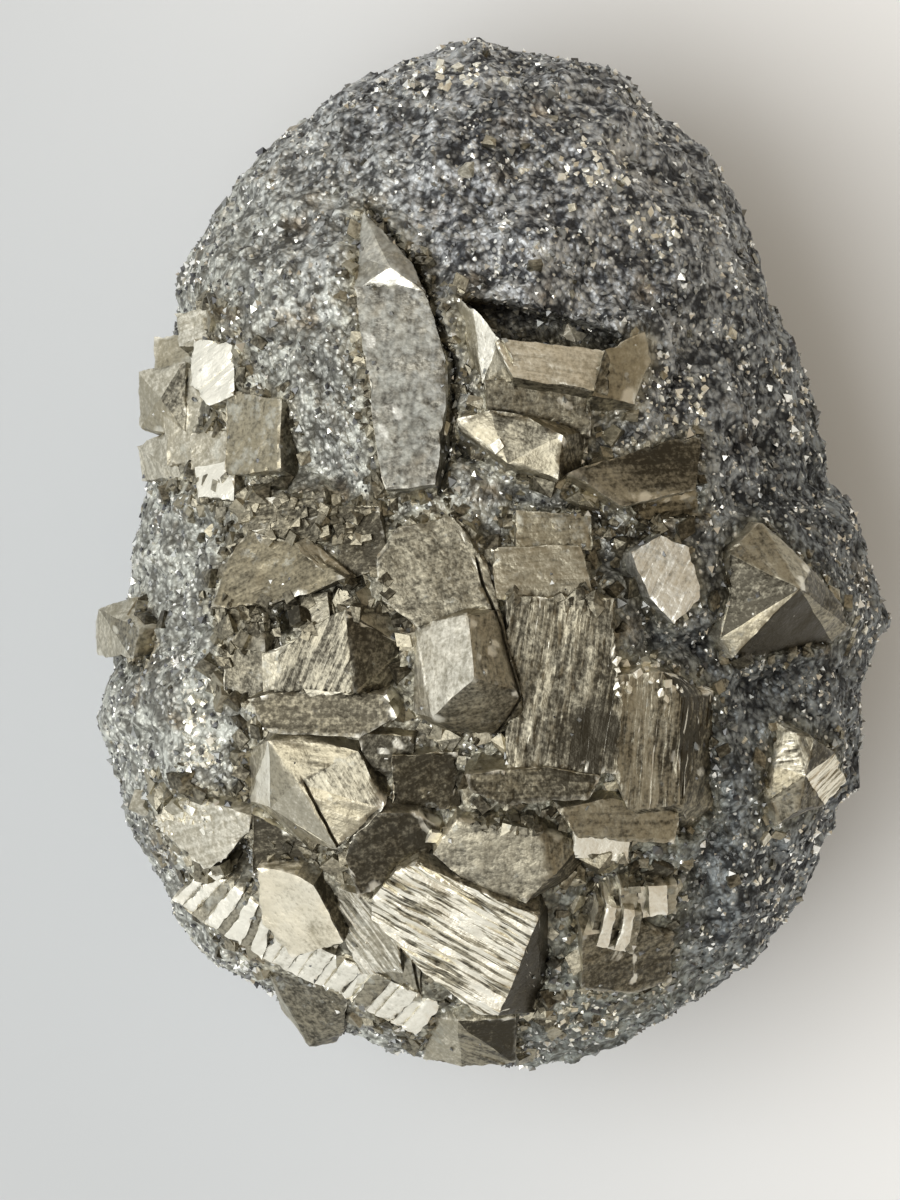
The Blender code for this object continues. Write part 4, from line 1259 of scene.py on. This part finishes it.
def stones_in_patches(rng, ground):
    """The small blocks of the listed patches. Those that fall beside the nodule are left out."""
    stones = []
    for (x, y), (half_x, half_y), count, size, tone, warmth in BLOCK_PATCHES.values():
        for _ in range(count):
            foot, outward = ground.under(x + half_x * rng.uniform(-1.0, 1.0),
                                         y + half_y * rng.uniform(-1.0, 1.0))
            length = min(1.8 * size, rng.lognormal(math.log(size), 0.35)) * MM
            shade = tone + rng.uniform(-0.12, 0.12)
            if foot is not None:
                stones.append((foot, outward, length, shade, warmth))
    return stones


def block_corners(rng, corners, foot, outward, length):
    """The corners of a block that is leaned, spun, stretched and sunk a little in the ground."""
    upright = outward.to_track_quat("Z", "Y")
    steady_over = 0.3 * MM
    lean_spread = 0.3 if length > steady_over else 0.8
    lean = Quaternion(Vector(rng.normal(0.0, 1.0, 3)).normalized(), rng.normal(0.0, lean_spread))
    spin = Quaternion((0.0, 0.0, 1.0), rng.uniform(0.0, math.tau))
    turn = lean @ upright @ spin
    stretch = Vector(rng.uniform(0.7, 1.3, 3)) * length
    middle = foot - outward * length * rng.uniform(0.2, 0.45)
    places = [middle + turn @ (corner * stretch) for corner in corners]
    return [(place.x, place.y, max(0.0, place.z)) for place in places]


def rubble_mesh(name, body, settings):
    """Small crystals: some between and beside the large ones, others over the whole body, and
    those that have a place of their own."""
    rng = np.random.default_rng(RUBBLE_SEED)
    blocks = [faceted_block(rng) for _ in range(BLOCK_SHAPES)]
    stones = stones_on_body(rng, body, settings)
    ground = Ground(body)
    for x, y, size, tone in LOOSE_CRYSTALS.values():
        stones.append((*ground.under(x, y), size * MM, tone, 0.2))
    stones.extend(stones_in_patches(rng, ground))
    points = []
    faces = []
    tones = []
    warmths = []
    for foot, outward, length, tone, warmth in stones:
        corners, sides = blocks[rng.integers(len(blocks))]
        start = len(points)
        points.extend(block_corners(rng, corners, foot, outward, length))
        faces.extend([start + index for index in side] for side in sides)
        tones.extend(tone + rng.uniform(-0.06, 0.06) for _ in sides)
        warmths.extend(warmth for _ in sides)
    mesh = bpy.data.meshes.new(name)
    mesh.from_pydata(points, [], faces)
    keep_values(mesh, "tone", tones, "FACE")
    keep_values(mesh, "warmth", warmths, "FACE")
    return mesh


def grain_material(name, dark, pale, roughness, metal):
    """Small metallic grains, each with its own tone."""
    material, shader, start = new_material(name)
    tone = attribute(start, "tone")
    place = object_place(start)
    feed(tone.mix(dark, pale), shader, "Base Color")
    feed(roughness + 0.2 * place.clouds(2000.0), shader, "Roughness")
    shader.inputs["Metallic"].default_value = metal
    return material


# Floor, light and camera

def lay_floor(stage):
    """Lays pale paper under the nodule, with painted shade that makes it darker and bluer towards
    the left.
    """
    half = 1.2
    mesh = bpy.data.meshes.new("floor")
    mesh.from_pydata([(-half, -half, 0.0), (half, -half, 0.0), (half, half, 0.0),
                      (-half, half, 0.0)], [], [(0, 1, 2, 3)])
    material, shader, start = new_material("pale paper")
    place = object_place(start)
    # Painted shade: the paper is darker and bluer towards the left and a little towards the bottom
    across = place.part(0) + 0.25 * place.part(1) + 0.004 * place.clouds(18.0, 3.0)
    half_change = 0.042
    paper = across.ramp(-half_change, half_change)
    feed(paper.mix(stage.floor_left_painted_shade, stage.floor_right), shader, "Base Color")
    shader.inputs["Roughness"].default_value = 0.7
    mesh.materials.append(material)
    floor = bpy.data.objects.new("floor", mesh)
    bpy.context.scene.collection.objects.link(floor)


def area_light(name, place, target, size, power, colour):
    """A soft square light that faces a place."""
    data = bpy.data.lights.new(name, "AREA")
    data.shape = "RECTANGLE"
    data.size, data.size_y = size
    data.energy = power
    data.color = colour
    lamp = bpy.data.objects.new(name, data)
    lamp.location = place
    lamp.rotation_euler = (Vector(target) - Vector(place)).to_track_quat("-Z", "Y").to_euler()
    bpy.context.scene.collection.objects.link(lamp)


def room_light(strength):
    """A room that is bright on the left, dim and warm on the right, and dull overhead."""
    world = bpy.data.worlds.new("room")
    bpy.context.scene.world = world
    world.use_nodes = True
    background = world.node_tree.nodes["Background"]
    start = Signal(world.node_tree, None)
    direction = start.node("ShaderNodeTexCoord", output=0)
    left = (direction.part(0) * -0.92 + direction.part(1) * -0.38).ramp(-0.5, 0.8)
    overhead = direction.part(2).ramp(0.80, 0.98)
    colour = left.mix((0.60, 0.50, 0.37), (1.22, 1.23, 1.24))
    colour = (overhead * 0.6).mix(colour, (0.50, 0.49, 0.46))
    feed(colour, background, "Color")
    background.inputs["Strength"].default_value = strength


def place_camera(distance):
    """Looks straight down. The nodule lies a little right of and above the frame's middle."""
    frame_height = 0.072
    sensor = 36.0
    data = bpy.data.cameras.new("camera")
    data.sensor_fit = "AUTO"
    data.sensor_width = sensor
    data.lens = sensor * distance / frame_height
    camera = bpy.data.objects.new("camera", data)
    camera.location = (-2.34 * MM, -2.88 * MM, WAIST_HEIGHT * MM + distance)
    bpy.context.scene.collection.objects.link(camera)
    bpy.context.scene.camera = camera


# Settings that a user would change

def a_colour(name, description, default):
    """A colour."""
    return FloatVectorProperty(name=name, description=description, default=default,
                               subtype="COLOR")


def a_length(name, description, default):
    """A length in metres."""
    return FloatProperty(name=name, description=description, default=default, unit="LENGTH")


def a_share(name, description, default):
    """A part of a whole, from 0 to 1."""
    return FloatProperty(name=name, description=description, default=default, subtype="FACTOR")


def a_number(name, description, default):
    """A plain number."""
    return FloatProperty(name=name, description=description, default=default)


def a_count(name, description, default):
    """How many of something."""
    return IntProperty(name=name, description=description, default=default)


class BodySettings(bpy.types.PropertyGroup):
    """Relief and colours of the granular body."""

    grain_height: a_length("Grain height", "Roughness of single grains", 0.03 * MM)
    crumb_height: a_length("Crumb height", "Relief of clumps of grains", 0.45 * MM)
    grain_tilt: a_number("Grain tilt", "How much grain facets lean", 0.24)
    # Share of pale specks, partly pale grains and partly painted glints
    speck_share: a_share("Specks", "Share of the grains that are pale", 0.045)
    metal: a_share("Metal", "How metallic the body is", 0.6)
    blue_grey: a_colour("Blue grey", "Pale grains in the middle", (0.62, 0.64, 0.65))
    khaki_grey: a_colour("Khaki grey", "Pale grains on the left", (0.68, 0.695, 0.63))
    pale_grain: a_colour("Pale grain", "Lightest grains", (0.86, 0.86, 0.80))
    dark_grain: a_colour("Dark grain", "Darkest grains", (0.042, 0.044, 0.048))
    dark_khaki: a_colour("Dark khaki", "Dark grains on the left", (0.175, 0.173, 0.15))
    brown_stain: a_colour("Brown stain", "Rusty patches", (0.66, 0.50, 0.32))
    by_crystals: a_colour("By crystals", "Tint beside crystals", (0.80, 0.72, 0.56))
    # Partly the bluer grey of the lower right, partly painted shade there
    lower_right_tint_and_shade: a_colour("Lower right", "Tint of the lower right", (0.46, 0.49, 0.50))
    # Painted shade inside hollows and cracks
    hollow_shade: a_colour("In hollows", "Tint inside hollows", (0.58, 0.54, 0.45))


class CrystalSettings(bpy.types.PropertyGroup):
    """Relief and colours of the crystals."""

    fineness: a_length("Fineness", "Longest edge in a crystal's mesh", 0.41 * MM)
    warp: a_length("Warp", "How far faces are from flat", 0.1 * MM)
    chip: a_length("Chips", "Depth of chips in the edges", 0.22 * MM)
    facet_tilt: a_number("Facet tilt", "Unevenness of the shine", 0.06)
    roughness: a_share("Roughness", "Roughness of clean faces", 0.41)
    brass_dark: a_colour("Brass, dark", "Darkest brassy faces", (0.058, 0.052, 0.038))
    brass: a_colour("Brass", "Brassy faces", (0.42, 0.39, 0.30))
    brass_pale: a_colour("Brass, pale", "Palest brassy faces", (0.96, 0.93, 0.81))
    silver_dark: a_colour("Silver, dark", "Darkest pale faces", (0.07, 0.066, 0.055))
    silver: a_colour("Silver", "Pale faces", (0.42, 0.41, 0.36))
    silver_pale: a_colour("Silver, pale", "Palest pale faces", (0.97, 0.96, 0.88))
    silver_coat: a_number("Coat", "Crumbs on the pale crystals", 0.18)
    seam: a_colour("Seams", "Tint in the seams between crystals", (0.25, 0.21, 0.17))
    tarnish: a_colour("Tarnish", "Brown tarnish", (0.80, 0.715, 0.54))


class RubbleSettings(bpy.types.PropertyGroup):
    """Numbers, sizes and tones of the small crystals."""

    near_count: a_count("Beside", "Small crystals beside large ones", 1100)
    far_count: a_count("Elsewhere", "Small crystals elsewhere", 160)
    near_size: a_length("Size beside", "Their middle size", 0.42 * MM)
    far_size: a_length("Size elsewhere", "Their middle size", 0.36 * MM)
    near_tone: a_number("Tone beside", "Their middle tone", 0.29)
    far_tone: a_number("Tone elsewhere", "Their middle tone", 0.16)


class GlintSettings(bpy.types.PropertyGroup):
    """Numbers and sizes of the loose grains and glints."""

    dull_count: a_count("Dull grains", "Grey grains", 12000)
    bright_count: a_count("Glints", "Bright grains", 5200)
    dull_size: a_length("Grain size", "Size of grey grains", 0.26 * MM)
    bright_size: a_length("Glint size", "Size of bright grains", 0.26 * MM)
    dull_dark: a_colour("Grains, dark", "Darkest grey grains", (0.09, 0.09, 0.095))
    dull_pale: a_colour("Grains, pale", "Lightest grey grains", (0.42, 0.43, 0.41))
    bright: a_colour("Glints", "Colour of bright grains", (0.92, 0.91, 0.85))


class StageSettings(bpy.types.PropertyGroup):
    """Floor, light and camera."""

    # Painted shade on the paper at the left
    floor_left_painted_shade: a_colour("Floor, left", "Paper on the left", (0.60, 0.63, 0.655))
    floor_right: a_colour("Floor, right", "Paper on the right", (0.97, 0.98, 0.985))
    window_power: FloatProperty(name="Window", description="Power of the window light",
                                default=6.6, unit="POWER")
    fill: a_number("Fill", "Brightness of the room", 0.70)
    camera_distance: a_length("Camera distance", "Height over the floor", 450.0 * MM)


# Operators

def slot_material(context, slot, edges=0.7):
    """The material of one of the crystal slots, made once, and how strong its painted highlights
    on ridges and painted shade in grooves are.
    """
    name = slot.replace("_", " ") + ("" if edges else ", small")
    made = bpy.data.materials.get(name)
    if made:
        return made
    settings = context.scene.nodule_crystals
    pale = (settings.silver_dark, settings.silver, settings.silver_pale)
    brass = (settings.brass_dark, settings.brass, settings.brass_pale)
    palette, coating = (pale, settings.silver_coat) if slot == "pale_crystal" else (brass, 0.0)
    return crystal_material(name, settings, palette, coating, edges)


def dress_node(context, node, slot, seed):
    """Replaces a crystal's plain solid by its dressed mesh."""
    mesh = crystal_mesh(node, context.scene.nodule_crystals, seed)
    add_piece(mesh, slot_material(context, slot), slot, node)


def scatter(name, seed, size, count, on_crystals, sinks, clustering, material):
    """Adds a piece of many grains, with a share of them on the crystals and the rest on the body.
    They sink between two shares of their size, and gather more where clustering is larger."""
    body = bpy.data.objects["granular_body"].data
    crystals = [piece for piece in bpy.data.objects if piece.name.endswith("_faces")]
    sources = (places_on_body(body, clustering), places_on_crystals(crystals, clustering))
    counts = (round(count * (1.0 - on_crystals)), round(count * on_crystals))
    mesh = scattered_mesh(name, seed, size, sinks, sources, counts)
    add_piece(mesh, material, "granular_sulphide")


class NODULE_OT_body(bpy.types.Operator):
    """Builds the granular body"""

    bl_idname = "nodule.body"
    bl_label = "Granular body"

    def execute(self, context):
        settings = context.scene.nodule_body
        mesh = body_mesh("granular_body", settings)
        add_piece(mesh, body_material(settings), "granular_sulphide", "nodule_matrix")
        return {"FINISHED"}


class NODULE_OT_main_cluster(bpy.types.Operator):
    """Dresses the crystals of the middle and the lower half"""

    bl_idname = "nodule.main_cluster"
    bl_label = "Main crystal cluster"

    def execute(self, context):
        dress_node(context, "main_crystal_cluster", "brassy_crystal", 1)
        return {"FINISHED"}


class NODULE_OT_upper_crystals(bpy.types.Operator):
    """Dresses the saddle, the middle crystal and the shelf"""

    bl_idname = "nodule.upper_crystals"
    bl_label = "Upper crystals"

    def execute(self, context):
        dress_node(context, "upper_crystals", "brassy_crystal", 2)
        return {"FINISHED"}


class NODULE_OT_tall_crystal(bpy.types.Operator):
    """Dresses the long pitted crystal"""

    bl_idname = "nodule.tall_crystal"
    bl_label = "Tall crystal"

    def execute(self, context):
        dress_node(context, "tall_crystal", "pale_crystal", 3)
        return {"FINISHED"}


class NODULE_OT_left_edge(bpy.types.Operator):
    """Dresses the blocks on the left edge"""

    bl_idname = "nodule.left_edge"
    bl_label = "Left edge cluster"

    def execute(self, context):
        dress_node(context, "left_edge_cluster", "brassy_crystal", 4)
        return {"FINISHED"}


class NODULE_OT_single_crystals(bpy.types.Operator):
    """Dresses the crystals that stand alone on the upper side"""

    bl_idname = "nodule.single_crystals"
    bl_label = "Single crystals"

    def execute(self, context):
        dress_node(context, "pale_crystal", "pale_crystal", 5)
        dress_node(context, "pyramid_crystal", "brown_crystal", 6)
        dress_node(context, "nugget", "brassy_crystal", 7)
        dress_node(context, "tip_crystal", "brown_crystal", 8)
        return {"FINISHED"}


class NODULE_OT_stepped_cluster(bpy.types.Operator):
    """Dresses the striped steps on the lower right"""

    bl_idname = "nodule.stepped_cluster"
    bl_label = "Stepped cluster"

    def execute(self, context):
        dress_node(context, "stepped_cluster", "brassy_crystal", 9)
        return {"FINISHED"}


class NODULE_OT_side_crystals(bpy.types.Operator):
    """Dresses the blocks on the hidden sides"""

    bl_idname = "nodule.side_crystals"
    bl_label = "Side crystals"

    def execute(self, context):
        for number, side in enumerate(("left", "front", "right", "back")):
            dress_node(context, side + "_side_crystal", "brassy_crystal", 10 + number)
        return {"FINISHED"}


class NODULE_OT_rubble(bpy.types.Operator):
    """Sets small crystals between the large ones and over the body"""

    bl_idname = "nodule.rubble"
    bl_label = "Small crystals"

    def execute(self, context):
        body = bpy.data.objects["granular_body"].data
        mesh = rubble_mesh("small_crystals", body, context.scene.nodule_rubble)
        add_piece(mesh, slot_material(context, "brassy_crystal", 0.0), "brassy_crystal")
        return {"FINISHED"}


class NODULE_OT_glints(bpy.types.Operator):
    """Scatters grey grains and bright glints over the body and the feet of the crystals"""

    bl_idname = "nodule.glints"
    bl_label = "Grains and glints"

    def execute(self, context):
        glints = context.scene.nodule_glints
        grey = grain_material("grey grain", glints.dull_dark, glints.dull_pale, 0.3, 0.75)
        scatter("grey_grains", GRAIN_SEED, glints.dull_size, glints.dull_count, 0.22,
                (-0.25, 0.15), 0.6, grey)
        bright = grain_material("glint", glints.bright, glints.bright, 0.22, 1.0)
        scatter("glints", GLINT_SEED, glints.bright_size, glints.bright_count, 0.2,
                (-0.3, 0.15), 2.6, bright)
        return {"FINISHED"}


class NODULE_OT_stage(bpy.types.Operator):
    """Sets up the pale floor, the soft light from the left and the camera"""

    bl_idname = "nodule.stage"
    bl_label = "Floor, light and camera"

    def execute(self, context):
        stage = context.scene.nodule_stage
        lay_floor(stage)
        area_light("window", (-0.52, -0.12, 0.86), (0.0, 0.0, 0.02), (0.80, 0.90),
                   stage.window_power, (1.0, 1.0, 0.99))
        room_light(stage.fill)
        place_camera(stage.camera_distance)
        context.scene.view_settings.view_transform = "Standard"
        return {"FINISHED"}


STEPS = [NODULE_OT_body, NODULE_OT_main_cluster, NODULE_OT_upper_crystals, NODULE_OT_tall_crystal,
         NODULE_OT_left_edge, NODULE_OT_single_crystals, NODULE_OT_stepped_cluster,
         NODULE_OT_side_crystals, NODULE_OT_rubble, NODULE_OT_glints, NODULE_OT_stage]


class NODULE_PT_panel(bpy.types.Panel):
    """Lists the steps that build the nodule"""

    bl_idname = "NODULE_PT_panel"
    bl_label = "Marcasite nodule"
    bl_space_type = "VIEW_3D"
    bl_region_type = "UI"
    bl_category = "Nodule"

    def draw(self, context):
        column = self.layout.column()
        for step in STEPS:
            column.operator(step.bl_idname)
        for name, group in GROUPS.items():
            box = self.layout.box()
            for key in group.__annotations__:
                box.prop(getattr(context.scene, name), key)


GROUPS = {
    "nodule_body": BodySettings,
    "nodule_crystals": CrystalSettings,
    "nodule_rubble": RubbleSettings,
    "nodule_glints": GlintSettings,
    "nodule_stage": StageSettings,
}


def register():
    """Registers the settings, the operators and the panel."""
    for name, group in GROUPS.items():
        bpy.utils.register_class(group)
        setattr(bpy.types.Scene, name, PointerProperty(type=group))
    for item in (*STEPS, NODULE_PT_panel):
        bpy.utils.register_class(item)


def unregister():
    """Takes the settings, the operators and the panel away again."""
    for item in (*STEPS, NODULE_PT_panel):
        bpy.utils.unregister_class(item)
    for name, group in GROUPS.items():
        delattr(bpy.types.Scene, name)
        bpy.utils.unregister_class(group)


def main():
    """Builds every piece in order."""
    register()
    for step in STEPS:
        family, action = step.bl_idname.split(".")
        getattr(getattr(bpy.ops, family), action)()


if __name__ == "__main__":
    main()
